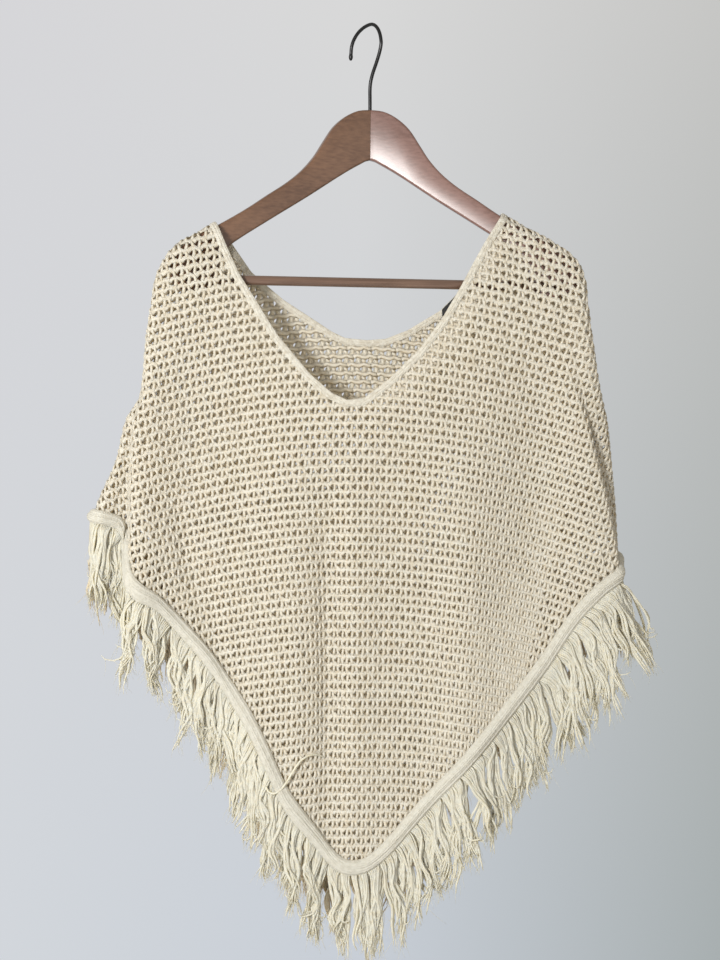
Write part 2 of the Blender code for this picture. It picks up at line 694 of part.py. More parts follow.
def hook_path():
    """Middle of the wire: up the stem, out to the near side, over the rod and down."""
    top = WIRE / 2.0
    waist = top - CROOK_HEIGHT
    foot = -(APEX_DROP - SEAM_GAP)
    flat = [(0.0, foot), (0.0, -80.0), (0.0, -68.0), (1.2, -60.0), (5.0, -51.0),
            (11.0, -41.0), (16.2, -31.0)]
    for degrees in range(0, 105, 15):
        a = math.radians(degrees)
        flat.append((CROOK_NEAR * math.cos(a), waist + CROOK_HEIGHT * math.sin(a)))
    for degrees in range(105, 195, 15):
        a = math.radians(degrees)
        flat.append((CROOK_FAR * math.cos(a), waist + CROOK_HEIGHT * math.sin(a)))
    flat.append((-CROOK_FAR - 0.8, waist - 9.0))
    return [(w * HOOK_DIRECTION[0], w * HOOK_DIRECTION[1], z) for w, z in flat]


# ---- the whole ---------------------------------------------------------------------------

def make_material(name):
    colour, roughness, metallic = COLOURS[name]
    material = bpy.data.materials.new(name)
    material.use_nodes = True
    shader = material.node_tree.nodes["Principled BSDF"]
    shader.inputs["Base Color"].default_value = (*colour, 1.0)
    shader.inputs["Roughness"].default_value = roughness
    shader.inputs["Metallic"].default_value = metallic
    material.diffuse_color = (*colour, 1.0)
    return material


def main():
    for thing in list(bpy.data.objects):
        bpy.data.objects.remove(thing, do_unlink=True)
    finish = {name: make_material(name) for name in COLOURS}
    make_panel("front_panel", True, finish["knit"])
    make_panel("back_panel", False, finish["knit"])
    make_neck_band(finish["band"])
    make_hem_band("hem_band_front", True, finish["band"])
    make_hem_band("hem_band_back", False, finish["band"])
    for phase, (face, angles) in enumerate((("front", front_angles()), ("back", back_angles()))):
        point = int(np.argmin(np.abs(-np.cos(angles) - HEM_POINT)))
        in_front = face == "front"
        make_fringe(f"fringe_{face}_left", in_front, 0, point, phase, finish["fringe"])
        make_fringe(f"fringe_{face}_right", in_front, point, len(angles) - 1, phase + 2,
                    finish["fringe"])
    make_label(finish["label"])
    make_arm("hanger_arm_left", -1, finish["wood"])
    make_arm("hanger_arm_right", 1, finish["wood"])
    make_bar(finish["wood"])
    tube_solid("hanger_hook", hook_path(), WIRE / 2.0, 10, finish["hook"])


main()
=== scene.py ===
"""Looks of a knitted poncho sweater on a wooden hanger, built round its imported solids.

The garment's surface is worked out as in its solids: a closed tube followed by an angle round
it and by the drop below the hook. Tables are in millimetres, objects in metres.
"""

import math

import bmesh
import bpy
import numpy as np
from mathutils import Matrix, Vector

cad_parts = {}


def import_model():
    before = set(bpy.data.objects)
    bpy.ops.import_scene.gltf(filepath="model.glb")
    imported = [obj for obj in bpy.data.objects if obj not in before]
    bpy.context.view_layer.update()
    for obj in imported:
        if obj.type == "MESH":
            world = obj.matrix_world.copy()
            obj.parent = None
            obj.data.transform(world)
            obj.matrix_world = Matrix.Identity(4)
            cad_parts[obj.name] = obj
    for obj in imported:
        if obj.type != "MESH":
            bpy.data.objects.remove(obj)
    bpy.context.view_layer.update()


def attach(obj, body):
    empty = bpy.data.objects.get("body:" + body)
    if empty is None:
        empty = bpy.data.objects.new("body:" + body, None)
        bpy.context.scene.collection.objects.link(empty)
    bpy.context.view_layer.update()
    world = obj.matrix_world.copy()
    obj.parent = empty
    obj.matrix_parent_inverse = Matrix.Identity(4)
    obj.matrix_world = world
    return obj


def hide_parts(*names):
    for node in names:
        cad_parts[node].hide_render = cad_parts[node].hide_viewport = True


CAMERA_AZIMUTH = math.radians(-7.0)
CAMERA_TARGET = (-0.017, -0.05, -0.4886)
CAMERA_DISTANCE = 2.0
CAMERA_FOCAL = 1905.0 / 960.0       # of the picture's height
SENSOR = 36.0
MM = 0.001
FORWARD = (0.0, -1.0, 0.0)

# ---- driving sizes, mm ----

BAND_WALL = 4.0             # neck band and hem band, double knit
NECK_BAND = 7.0
HEM_BAND = 14.0
FRINGE_LENGTH = 80.0

ARM_ANGLE = math.radians(16.0)      # each arm of the contoured hanger points forward
ARM_THICK = 11.5
ARM_BEVEL = 2.6
MITRE_SPARE = 5.0           # board past the middle, cut off by the mitre
MITRE_GAP = 0.08            # from the middle to the mitred face
BAR_SEAT = 0.4              # how far the bar's ends go into the arms
HANGER_TILT = math.radians(0.5)     # the hanger hangs a little down to the right
APEX_DROP = 90.5
BAR_DIAMETER = 10.0
BAR_PLACE = (-59.0, 282.5)          # y and drop of the trouser bar
WIRE = 3.8
CROOK_NEAR = 19.0                   # from the stem to the wire on its near side
CROOK_FAR = 33.0
CROOK_HEIGHT = 24.0
HOOK_DIRECTION = (0.52, -0.854)     # the crook's plane, swivelled from the hanger's

# ---- tables, mm ----

# The seam line: over the arm of the hanger, round its tip and down the side.
SIDES = (  # drop, left x, left y, right x, right y
    (190, -124, -34, 113, -30.5),
    (205, -146, -40, 136, -37),
    (219.5, -167, -46, 160, -44),
    (235, -193, -53.5, 187, -52),
    (246, -210, -58.5, 202, -56.5),
    (257, -219, -61.5, 213, -60.5),
    (270, -226, -62.5, 219, -62),
    (283, -231, -62.5, 222, -62),
    (303, -234, -62, 224, -62),
    (344, -240, -60, 230, -60),
    (385, -243, -50, 238, -53),
    (405, -247, -44, 244, -46),
    (426, -260, -39, 250, -40),
    (468, -270.5, -35, 255.5, -35),
    (525, -293.5, -29, 261, -30),
    (591, -297, -28, 264, -24),
    (940, -297, -28, 264, -24),
)

# Depth of the front and back sheets. The bow is how much further a sheet is at 200 mm from
# the middle.
SHEETS = (  # drop, front y, front bow, back y, back bow
    (190, -44, -5, -19, -18),
    (221, -52, -9, -19, -20),
    (257, -61, -9, -21, -21),
    (283, -67, -5, -22, -20),
    (344, -67, -4, -21, -12),
    (400, -66, -1, -18, -8),
    (470, -65, 0, -12, 2),
    (525, -64, 1, -8, 2),
    (600, -64, 1, -5, 2),
    (940, -62, 0, -2, 0),
)

# The front steps back to the sides in a rounded turn, given as shifts from a plain section.
# The edge is where the front sheet ends, the step is where the side begins behind it.
LEFT_STEP = (  # drop, step x, step y, edge x, edge y
    (270, 0, 0, 0, 0),
    (330, -16, 1, -21, 0),
    (385, -32, 3, -42, 0),
    (425, -29, 12, -40, 0),
    (470, -22.5, 21, -34, 1),
    (525, -5, 26, -16.5, 2),
    (590, -2.5, 27, -14, 2),
    (940, -2.5, 27, -14, 2),
)
RIGHT_STEP = (  # drop, step x, step y, edge x, edge y
    (344, 0, 0, 0, 0),
    (385, 0, 3, 3, 0),
    (425, 2, 8, 7, 0),
    (470, 9, 13, 14, 0),
    (525, 20, 15, 24, 1),
    (590, 25, 17, 32, 2),
    (940, 25, 17, 32, 2),
)

# Soft folds, seen from outside: a height above 0 is a ridge, below 0 a trough.
FRONT_FOLDS = (  # x at top, x at foot, top drop, foot drop, width left, width right, height
    (-178, -204, 300, 770, 38, 110, -17),
    (-216, -138, 500, 755, 14, 16, -6),
    (-88, -88, 420, 900, 38, 18, 7),
    (-51, -51, 460, 900, 12, 14, -9.5),
    (-26, -26, 460, 900, 14, 26, 6.5),
    (92, 90, 430, 900, 28, 32, 11.5),
    (174, 174, 300, 740, 42, 36, -14),
)
BACK_FOLDS = (  # x at top, x at foot, top drop, foot drop, width left, width right, height
    (-170, -195, 310, 720, 24, 24, -6),
    (-80, -95, 400, 860, 20, 20, 5),
    (15, 5, 450, 900, 26, 26, -6),
    (105, 118, 380, 820, 22, 22, 5),
    (185, 195, 330, 660, 22, 22, -5),
)

# Edges of the neck opening. The first and last points carry each line on over the arm.
FRONT_NECK = (  # x, drop
    (-191, 170), (-168, 220.3), (-157, 248), (-145, 275.5), (-126, 305.5), (-105, 338),
    (-71, 378), (-48, 398), (-32.5, 405), (-15, 403.5), (10.5, 384), (43, 352.5),
    (65.5, 322.5), (87, 286), (100, 262.5), (114, 238.5), (136, 205), (160, 168),
)
BACK_NECK = (  # x, drop
    (-191, 170), (-168, 220.3), (-152, 238), (-130, 269.5), (-113, 284), (-95, 298.5),
    (-67, 316), (-43.5, 331), (-29.5, 337.5), (-6, 339.5), (14, 338), (38, 328.5),
    (56, 317.5), (72, 308), (91, 289), (114, 256), (136, 205), (160, 168),
)

# Upper edge of the hem band.
FRONT_HEM = (  # across, drop
    (-1.0, 519), (-0.93, 523), (-0.875, 530), (-0.84, 549), (-0.8, 581), (-0.765, 595),
    (-0.707, 609), (-0.562, 657), (-0.418, 719), (-0.349, 761), (-0.28, 807), (-0.179, 851),
    (-0.129, 871.5), (-0.087, 882.5), (-0.049, 884.5), (-0.007, 880.5), (0.057, 863),
    (0.166, 825), (0.276, 789), (0.358, 760), (0.504, 707.5), (0.602, 670), (0.687, 632.5),
    (0.744, 611.5), (0.809, 593), (0.86, 583), (0.9, 574), (1.0, 565),
)
BACK_HEM = (  # across, drop
    (-1.0, 519), (-0.8, 548), (-0.562, 640), (-0.35, 740), (-0.2, 815), (-0.09, 862),
    (-0.03, 870), (0.03, 862), (0.2, 796), (0.45, 700), (0.7, 618), (0.86, 583), (1.0, 565),
)

# One arm of the hanger, from the middle out. The foot of its tip carries the bar.
ARM_TOP = (  # x, drop
    (0, 90.5), (15, 93), (28, 100), (41, 112), (52, 129), (62, 145), (75, 160.5),
    (91, 174.5), (113, 190), (134, 205), (160, 221.5), (187, 237), (202, 248.5),
    (211, 258), (215, 268),
)
ARM_FOOT = (  # x, drop
    (215, 279), (211, 288), (204, 293), (172, 293), (168, 288), (167, 279), (163.5, 265),
    (158, 252), (150, 243), (113, 217.5), (70, 189), (28, 160), (0, 143),
)

# Where the sections' stations lie across the front: seam, step, edge, three on the open
# sheet, edge, step, seam.
STATIONS = np.array([-1.0, -0.86, -0.8, -0.7, 0.0, 0.7, 0.86, 0.9, 1.0])
FRONT_TURNS = (             # plain place in the width, table and column of its shift
    (0.07, LEFT_STEP, 1), (0.10, LEFT_STEP, 3), (0.93, RIGHT_STEP, 3), (0.95, RIGHT_STEP, 1),
)
BOW_X = 200.0               # from the middle to where the sheets' bows are given
BACK_TURN = 0.25            # across, the width in which the back turns to the seam
FRONT_ROUND = 12.0          # most that the front turns at a seam
BACK_ROUND = 16.0
FOLD_FADE = 24.0            # the folds fade out within this distance of the seams
STEEPEST = 0.45             # share of its drawn width that the band keeps on a steep hem
NECK_SCAN = np.arange(195.0, 470.0, 1.0)

# ---- smooth tables ----

def hermite(knots, values, place):
    """Smooth curve through values at knots. values is (knots, ...), place matches the rest."""
    knots = np.asarray(knots, float)
    values = np.asarray(values, float)
    place = np.clip(place, knots[0], knots[-1])
    slopes = np.empty_like(values)
    span = (knots[2:] - knots[:-2]).reshape((-1,) + (1,) * (values.ndim - 1))
    slopes[1:-1] = (values[2:] - values[:-2]) / span
    slopes[0] = (values[1] - values[0]) / (knots[1] - knots[0])
    slopes[-1] = (values[-1] - values[-2]) / (knots[-1] - knots[-2])
    cell = np.clip(np.searchsorted(knots, place, side="right") - 1, 0, len(knots) - 2)
    width = knots[cell + 1] - knots[cell]
    t = (place - knots[cell]) / width

    def pick(array, row):
        if values.ndim == 1:
            return array[row]
        return np.take_along_axis(array, row[None], axis=0)[0]

    return ((2 * t ** 3 - 3 * t ** 2 + 1) * pick(values, cell)
            + (3 * t ** 2 - 2 * t ** 3) * pick(values, cell + 1)
            + (t ** 3 - 2 * t ** 2 + t) * width * pick(slopes, cell)
            + (t ** 3 - t ** 2) * width * pick(slopes, cell + 1))


def column(table, index, drop):
    """One named column of a table at the given drops."""
    return hermite([row[0] for row in table], [row[index] for row in table], drop)


def bumps(folds, x, drop):
    """Height of the soft folds above the plain sheet."""
    height = np.zeros_like(x)
    for x_top, x_foot, top, foot, wide_left, wide_right, rise in folds:
        along = np.clip((drop - top) / (foot - top), 0.0, 1.0)
        aside = x - x_top - (x_foot - x_top) * along
        half_width = np.where(aside < 0.0, wide_left, wide_right)
        height += rise * np.sin(math.pi * along) * np.exp(-(aside / half_width) ** 2)
    return height


# ---- the tube of cloth ----

def unit(vectors, least=0.0):
    """Vectors brought to length 1. least is for those that may have no length."""
    return vectors / (np.linalg.norm(vectors, axis=-1, keepdims=True) + least)


def rounding(distance, radius):
    """Share of the way out to the sheet at a distance from the seam: a quarter circle."""
    share = np.clip(distance / radius, 0.0, 1.0)
    return np.sqrt(1.0 - (1.0 - share) ** 2)


def tube(angle, drop):
    """Points of the cloth's middle surface, mm, for arrays of ring angle and drop."""
    angle, drop = np.broadcast_arrays(np.asarray(angle, float), np.asarray(drop, float))
    across = -np.cos(angle)
    in_front = np.sin(angle) >= 0.0
    left, left_y, right, right_y = (column(SIDES, i, drop) for i in (1, 2, 3, 4))
    front_y, front_bow, back_y, back_bow = (column(SHEETS, i, drop) for i in (1, 2, 3, 4))
    width = right - left
    on_left = across < 0.0
    seam_y = np.where(on_left, left_y, right_y)
    slant = np.where(on_left, column(SIDES, 1, drop + 1) - left,
                     column(SIDES, 3, drop + 1) - right)

    def front_sheet(x):
        return front_y + front_bow * (x / BOW_X) ** 2

    def back_sheet(x):
        return back_y + back_bow * (x / BOW_X) ** 2

    left_step, left_edge, right_edge, right_step = (
        left + share * width + column(table, i, drop) for share, table, i in FRONT_TURNS)
    open_share = (STATIONS[3:6] - STATIONS[2]) / (STATIONS[6] - STATIONS[2])
    open_x = [left_edge + share * (right_edge - left_edge) for share in open_share]
    front_x = np.stack([left, left_step, left_edge, *open_x, right_edge, right_step, right])
    front_stations = np.stack([
        np.maximum(front_sheet(left), left_y - FRONT_ROUND),
        front_sheet(left_step) + column(LEFT_STEP, 2, drop),
        front_sheet(left_edge) + column(LEFT_STEP, 4, drop),
        *[front_sheet(x) for x in open_x],
        front_sheet(right_edge) + column(RIGHT_STEP, 4, drop),
        front_sheet(right_step) + column(RIGHT_STEP, 2, drop),
        np.maximum(front_sheet(right), right_y - FRONT_ROUND),
    ])
    x_front = hermite(STATIONS, front_x, across)
    y_front = hermite(STATIONS, front_stations, across)
    x_back = left + width * (across + 1.0) / 2.0
    seam_back = np.minimum(back_sheet(np.where(on_left, left, right)), seam_y + BACK_ROUND)
    from_seam = 1.0 - np.abs(across)
    near = np.clip(1.0 - from_seam / BACK_TURN, 0.0, 1.0) ** 2
    y_back = back_sheet(x_back) * (1.0 - near) + seam_back * near

    x = np.where(in_front, x_front, x_back)
    inward = from_seam / 2.0 * width / np.hypot(1.0, slant)
    seam_sheet = np.where(in_front, np.where(on_left, front_stations[0], front_stations[-1]),
                          seam_back)
    radius = np.maximum(np.abs(seam_sheet - seam_y), 1.0)
    y = np.where(in_front, y_front, y_back)
    y = y + (seam_y - seam_sheet) * (1.0 - rounding(inward, radius))
    folds = np.where(in_front, -bumps(FRONT_FOLDS, x, drop), bumps(BACK_FOLDS, x, drop))
    y = y + folds * np.clip(inward / FOLD_FADE, 0.0, 1.0)
    return np.stack([x, y, -drop], axis=-1)


def outward(angle, drop):
    """Unit normals of the tube, pointing out of the garment."""
    step = 0.002
    along = tube(angle + step, drop) - tube(angle - step, drop)
    down = tube(angle, drop + 0.5) - tube(angle, drop - 0.5)
    return -unit(np.cross(along, down))


# ---- edges of the pieces ----

def widened(edge, width):
    """A neck edge moved out into the cloth by a width."""
    points = np.array(edge, float)
    direction = unit(np.gradient(points, axis=0))
    moved = points + width * np.stack([-direction[:, 1], direction[:, 0]], axis=1)
    return moved[np.argsort(moved[:, 0])]


def crossing(value, edge):
    """Drop at which the line of one ring angle crosses a neck edge."""
    x = tube(np.full_like(NECK_SCAN, value), NECK_SCAN)[:, 0]
    above = NECK_SCAN - np.interp(x, edge[:, 0], edge[:, 1])
    first = int(np.argmax(above > 0.0))
    share = above[first - 1] / (above[first - 1] - above[first])
    return NECK_SCAN[first - 1] + share


def neck_drop(angle, in_front, width):
    """Drops of a line along the neck, at a width from its edge. Front and back share the
    points on the seams."""
    front, back = widened(FRONT_NECK, width), widened(BACK_NECK, width)
    drops = []
    for value in np.atleast_1d(angle):
        if abs(math.sin(value)) < 1e-6:
            drops.append((crossing(value, front) + crossing(value, back)) / 2.0)
        else:
            drops.append(crossing(value, front if in_front else back))
    return np.array(drops)


def hem_drop(angle, in_front):
    """Drop of a panel's foot, which is the upper edge of its hem band."""
    table = FRONT_HEM if in_front else BACK_HEM
    return hermite([row[0] for row in table], [row[1] for row in table], -np.cos(angle))


# ---- sizes of the yarn, mm ----

CELL = 12.6                 # one big hole and one small hole, across
ROW = 9.0
ROW_TOP = 150.0
ROWS = 92
CELLS = 34                  # to each side of the middle
MIDDLE_X = -27.0
ROW_SAG = 0.00071           # the rows sag towards the sides
WALE_GATHER = 0.00047       # the cells narrow downwards
WALE_START = 290.0
UNDER_NECK = 3.5            # how far the net runs in under the bands
UNDER_HEM = 3.0
CELL_SLACK = 1.06           # the cells' width at WALE_START, in CELLs
LEAN_START, LEAN_WIDTH = 90.0, 180.0    # to the right of here the cells narrow
LEAN_TOP, LEAN_HEIGHT = 280.0, 400.0    # and more so downwards, by up to LEAN
LEAN = 0.22
MESH_YARN = (3.2, 1.0)      # half width in the cloth, half height out of it
PILLAR_YARN = (1.8, 1.05)
BACK_MESH_YARN = (2.3, 0.7)         # the back is seen slack and nearly closed
BACK_PILLAR_YARN = (4.05, 0.5)
MESH_WAVE = 0.13            # in rows
MESH_LIFT = 0.35            # half of how far it dips behind the pillars
MESH_LUMPS = 0.2            # of its width
PILLARS = ((0.44, 0.55), (0.96, 0.885))     # their feet and heads, in cells
PILLAR_SPAN = (0.12, 0.76)  # where they start and how far they reach, in rows
PILLAR_LIFT = (0.2, 0.45)   # at the ends, and how much more in the middle
PILLAR_WAIST = 0.14         # of its width
GRID_STEP = 2.5
GRID_TOP, GRID_FOOT = 180.0, 905.0
GRID_REACH = 430.0
FRINGE_LAYERS = ((2.0, 2.1, 0.95), (0.0, 2.0, 1.0), (-2.0, 2.2, 1.03))  # lift, pitch, length
LOCK_WIDTHS = (6.0, 19.0)   # narrowest and widest lock of fringe yarns
LOCK_LENGTHS = (0.78, 1.2)  # of the fringe's length
LOCK_GATHER = (0.62, 0.92)  # how far its yarns draw to its middle
LOCK_WAVES = (2.0, 5.5)     # sideways
STRAND_WIDE = (1.1, 2.2)    # narrowest and widest half width of a fringe yarn
STRAND_HIGH = 1.1
STRAND_POINTS = 14
STRAND_SIDES = 4
ROOT_SWING = 6.0            # the yarns leave the band square to it
CURLED = 0.15               # share of the fringe yarns that end in a curl
CURL_RADII = (2.0, 5.5)
CURL_START = 0.74           # of a yarn's length
CURL_TURN = 1.15 * math.pi
POINT_X = -20.0             # near the hem's point the locks gather most
POINT_WIDTH = 55.0
FIBRE = 0.24                # half width of a loose fibre
FIBRE_LENGTHS = (6.0, 19.0)
CLUMP = 3                   # locks that lean together at their tips
FRINGE_SWING = (            # place across the front, how far the tips swing out to the right
    (-240, -6), (-60, 0), (0, 2), (35, 15), (110, 17), (150, 18), (205, 32), (250, 40),
)
BACK_SWING = 0.4            # of the front's
HEM_ROLL = 8.0              # height of the hem band's roll
SEAM_SHARE = 0.4            # how far the seam parts it into two
HEM_RIBS = 6
RIB_DEPTH = 0.5
SEAM_PLACES = (0.34, 0.68)  # of the hem's width, at its left and at its right
SEAM_ENDS = (-90.0, 30.0)   # x from which and to which the seam crosses over
NECK_RIBS = 3
NECK_RIB_HEIGHT = 0.6
LOOSE_HALF = 1.1            # half width of the snagged yarn
LOOSE_ROUTE = (             # x, drop, lift off the front
    (-57.0, 777.0, 2.2), (-63.0, 774.5, 4.0), (-72.0, 774.0, 5.5), (-81.0, 778.5, 6.0),
    (-88.0, 787.0, 6.0), (-94.0, 797.0, 6.0), (-101.0, 807.0, 6.5), (-108.0, 812.0, 6.5),
    (-114.0, 811.0, 6.0), (-118.0, 805.0, 5.0),
)

# ---- colours and light, metres ----

ROOM_LIGHT = (0.47, 0.455, 0.42)    # colour of the room beside its pale wall
WINDOW = ((-1.66, -2.29, -0.15), (0.5, 0.7), 100.0, (1.0, 1.0, 0.99))  # place, size, W, colour
FILL = ((1.8, -2.2, -0.2), (2.0, 2.0), 8.0, (1.0, 1.0, 1.0))
LIT_POINT = (0.0, 0.0, -0.5)
FLOOR_RADIUS, FLOOR_Z, FLOOR_CORNERS = 2.2, -1.62, 96
# The wall's colours are painted light and shade: lighter at the left towards the window, darker to
# the right and darkest low on the right.
UPPER_WALL_PAINTED_LIGHT = ((214, 214, 217), (216, 216, 216), (196, 196, 194))    # from left to right
LOWER_WALL_PAINTED_LIGHT = ((211, 215, 220), (200, 206, 214), (163, 170, 170))


# ---- meshes ----

def add_object(name, data):
    thing = bpy.data.objects.new(name, data)
    bpy.context.scene.collection.objects.link(thing)
    return thing


def add_mesh(name, shape, material, replaced=()):
    """A mesh object from a shape: points in mm, and arrays of faces by their corner count."""
    vertices, groups = shape
    mesh = bpy.data.meshes.new(name)
    vertices = np.asarray(vertices, float).reshape(-1, 3) * MM
    corners = np.concatenate([np.asarray(g).ravel() for g in groups]).astype(np.int32)
    counts = np.concatenate([np.full(len(g), np.asarray(g).shape[1]) for g in groups])
    starts = np.concatenate([[0], np.cumsum(counts)[:-1]]).astype(np.int32)
    mesh.vertices.add(len(vertices))
    mesh.vertices.foreach_set("co", vertices.astype(np.float32).ravel())
    mesh.loops.add(len(corners))
    mesh.loops.foreach_set("vertex_index", corners)
    mesh.polygons.add(len(starts))
    mesh.polygons.foreach_set("loop_start", starts)
    mesh.polygons.foreach_set("use_smooth", np.ones(len(starts), bool))
    mesh.update(calc_edges=True)
    mesh.validate()
    return dress(add_object(name, mesh), material, replaced)


def dress(thing, material, replaced=()):
    """Gives a piece its material, hangs it under the root and hides the CAD parts that it stands
    for.
    """
    thing.data.materials.clear()
    thing.data.materials.append(material)
    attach(thing, "root")
    if replaced:
        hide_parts(*replaced)
    return thing


def yarns(paths, normals, wide, high, sides, twist=0.5):
    """Closed tubes along many paths, (tubes, points, 3): vertices, side faces and end faces.

    Each section is turned by the twist, a share of one of its sides.
    """
    along = unit(np.gradient(paths, axis=1), 1e-9)
    across = unit(np.cross(along, normals), 1e-9)
    out = np.cross(across, along)
    turns = math.tau * (np.arange(sides) + twist) / sides
    wide = np.broadcast_to(wide, paths.shape[:2])[:, :, None, None]
    high = np.broadcast_to(high, paths.shape[:2])[:, :, None, None]
    rings = (paths[:, :, None, :]
             + wide * np.cos(turns)[None, None, :, None] * across[:, :, None, :]
             + high * np.sin(turns)[None, None, :, None] * out[:, :, None, :])
    tubes, count = paths.shape[:2]
    index = np.arange(tubes * count * sides).reshape(tubes, count, sides)
    turned = np.roll(index, -1, axis=2)
    quads = np.stack([index[:, :-1], turned[:, :-1], turned[:, 1:], index[:, 1:]], axis=-1)
    ends = np.concatenate([index[:, 0, ::-1], index[:, -1]])
    return rings.reshape(-1, 3), quads.reshape(-1, 4), ends


def join(parts):
    """Several results of yarns() as one."""
    vertices, quads, ends, shift = [], [], [], 0
    for points, sides, caps in parts:
        vertices.append(points)
        quads.append(sides + shift)
        ends.append(caps + shift)
        shift += len(points)
    return np.concatenate(vertices), [np.concatenate(quads), *ends]


def loop_strip(sections, closed):
    """Faces round a row of closed sections, (sections, corners, 3)."""
    count, corners = sections.shape[:2]
    index = np.arange(count * corners).reshape(count, corners)
    ahead = np.roll(index, -1, axis=0) if closed else index[1:]
    here = index if closed else index[:-1]
    quads = np.stack([here, np.roll(here, -1, axis=1), np.roll(ahead, -1, axis=1), ahead],
                     axis=-1).reshape(-1, 4)
    groups = [quads]
    if not closed:
        groups.append(np.stack([index[0, ::-1], index[-1]]))
    return sections.reshape(-1, 3), groups


# ---- the knitted net ----

class Face:
    """One face of the garment as a fine grid by drop and by distance round the cloth."""

    def __init__(self, in_front):
        self.drops = np.arange(GRID_TOP, GRID_FOOT, GRID_STEP)
        across = np.sin(np.linspace(-0.5, 0.5, 700) * math.pi)
        angle = np.arccos(-across)
        if not in_front:
            angle = math.tau - angle
        drop = np.repeat(self.drops[:, None], len(angle), axis=1)
        points = tube(np.broadcast_to(angle, drop.shape), drop)
        steps = np.linalg.norm(np.diff(points, axis=1), axis=2)
        length = np.concatenate([np.zeros((len(drop), 1)), np.cumsum(steps, axis=1)], axis=1)
        core = np.abs(across) < 0.5
        for row in range(len(drop)):
            length[row] -= np.interp(MIDDLE_X, points[row, core, 0], length[row, core])
        self.low, self.high = length[:, 0], length[:, -1]
        self.spans = np.arange(-GRID_REACH, GRID_REACH, GRID_STEP)
        angles = np.stack([np.interp(self.spans, row, angle) for row in length])
        drop = np.repeat(self.drops[:, None], len(self.spans), axis=1)
        self.points = tube(angles, drop)
        self.normals = outward(angles, drop)
        self.neck = widened(FRONT_NECK if in_front else BACK_NECK, UNDER_NECK)
        self.hem = hem_drop(angles, in_front) + UNDER_HEM

    def look(self, grid, span, drop):
        """Values of a grid between its points."""
        i = np.clip((drop - self.drops[0]) / GRID_STEP, 0, len(self.drops) - 1.001)
        j = np.clip((span - self.spans[0]) / GRID_STEP, 0, len(self.spans) - 1.001)
        i0, j0 = i.astype(int), j.astype(int)
        fi, fj = i - i0, j - j0
        if grid.ndim == 3:
            fi, fj = fi[..., None], fj[..., None]
        return ((grid[i0, j0] * (1 - fj) + grid[i0, j0 + 1] * fj) * (1 - fi)
                + (grid[i0 + 1, j0] * (1 - fj) + grid[i0 + 1, j0 + 1] * fj) * fi)

    def inside(self, span, drop):
        """Whether places are on the cloth, between its seams, its neck and its hem."""
        low = np.interp(drop, self.drops, self.low)
        high = np.interp(drop, self.drops, self.high)
        x = self.look(self.points, span, drop)[..., 0]
        edge = np.interp(x, self.neck[:, 0], self.neck[:, 1])
        foot = self.look(self.hem, span, drop)
        return ((span > low) & (span < high) & (drop > edge) & (drop < foot)
                & (drop < self.drops[-1] - GRID_STEP))

    def place(self, cell, row):
        """Distance round the cloth and drop of a place in the knit."""
        drop = ROW_TOP + ROW * row
        span = cell * CELL * np.exp(-WALE_GATHER * (drop - WALE_START)) * CELL_SLACK
        lean = (np.clip((cell * CELL - LEAN_START) / LEAN_WIDTH, 0.0, 1.0)
                * np.clip((drop - LEAN_TOP) / LEAN_HEIGHT, 0.0, 1.0))
        span = span * (1.0 - LEAN * lean)
        return span, drop + ROW_SAG * span ** 2

    def strands(self, cells, rows, lift, count):
        """Paths and normals of strands, given by functions of a share 0 to 1 along each."""
        share = np.linspace(0.0, 1.0, 9)[None, :]
        span, drop = self.place(cells(share), rows(share))
        within = self.inside(span, drop)
        first = np.argmax(within, axis=1) / 8.0
        last = 1.0 - np.argmax(within[:, ::-1], axis=1) / 8.0
        keep = within.any(axis=1) & (last - first > 0.2)
        share = np.linspace(0.0, 1.0, count)[None, :]
        share = first[:, None] + (last - first)[:, None] * share
        span, drop = self.place(cells(share), rows(share))
        points, normals = (self.look(grid, span, drop) for grid in (self.points, self.normals))
        normals = unit(normals)
        return (points + normals * lift(share)[..., None])[keep], normals[keep], keep


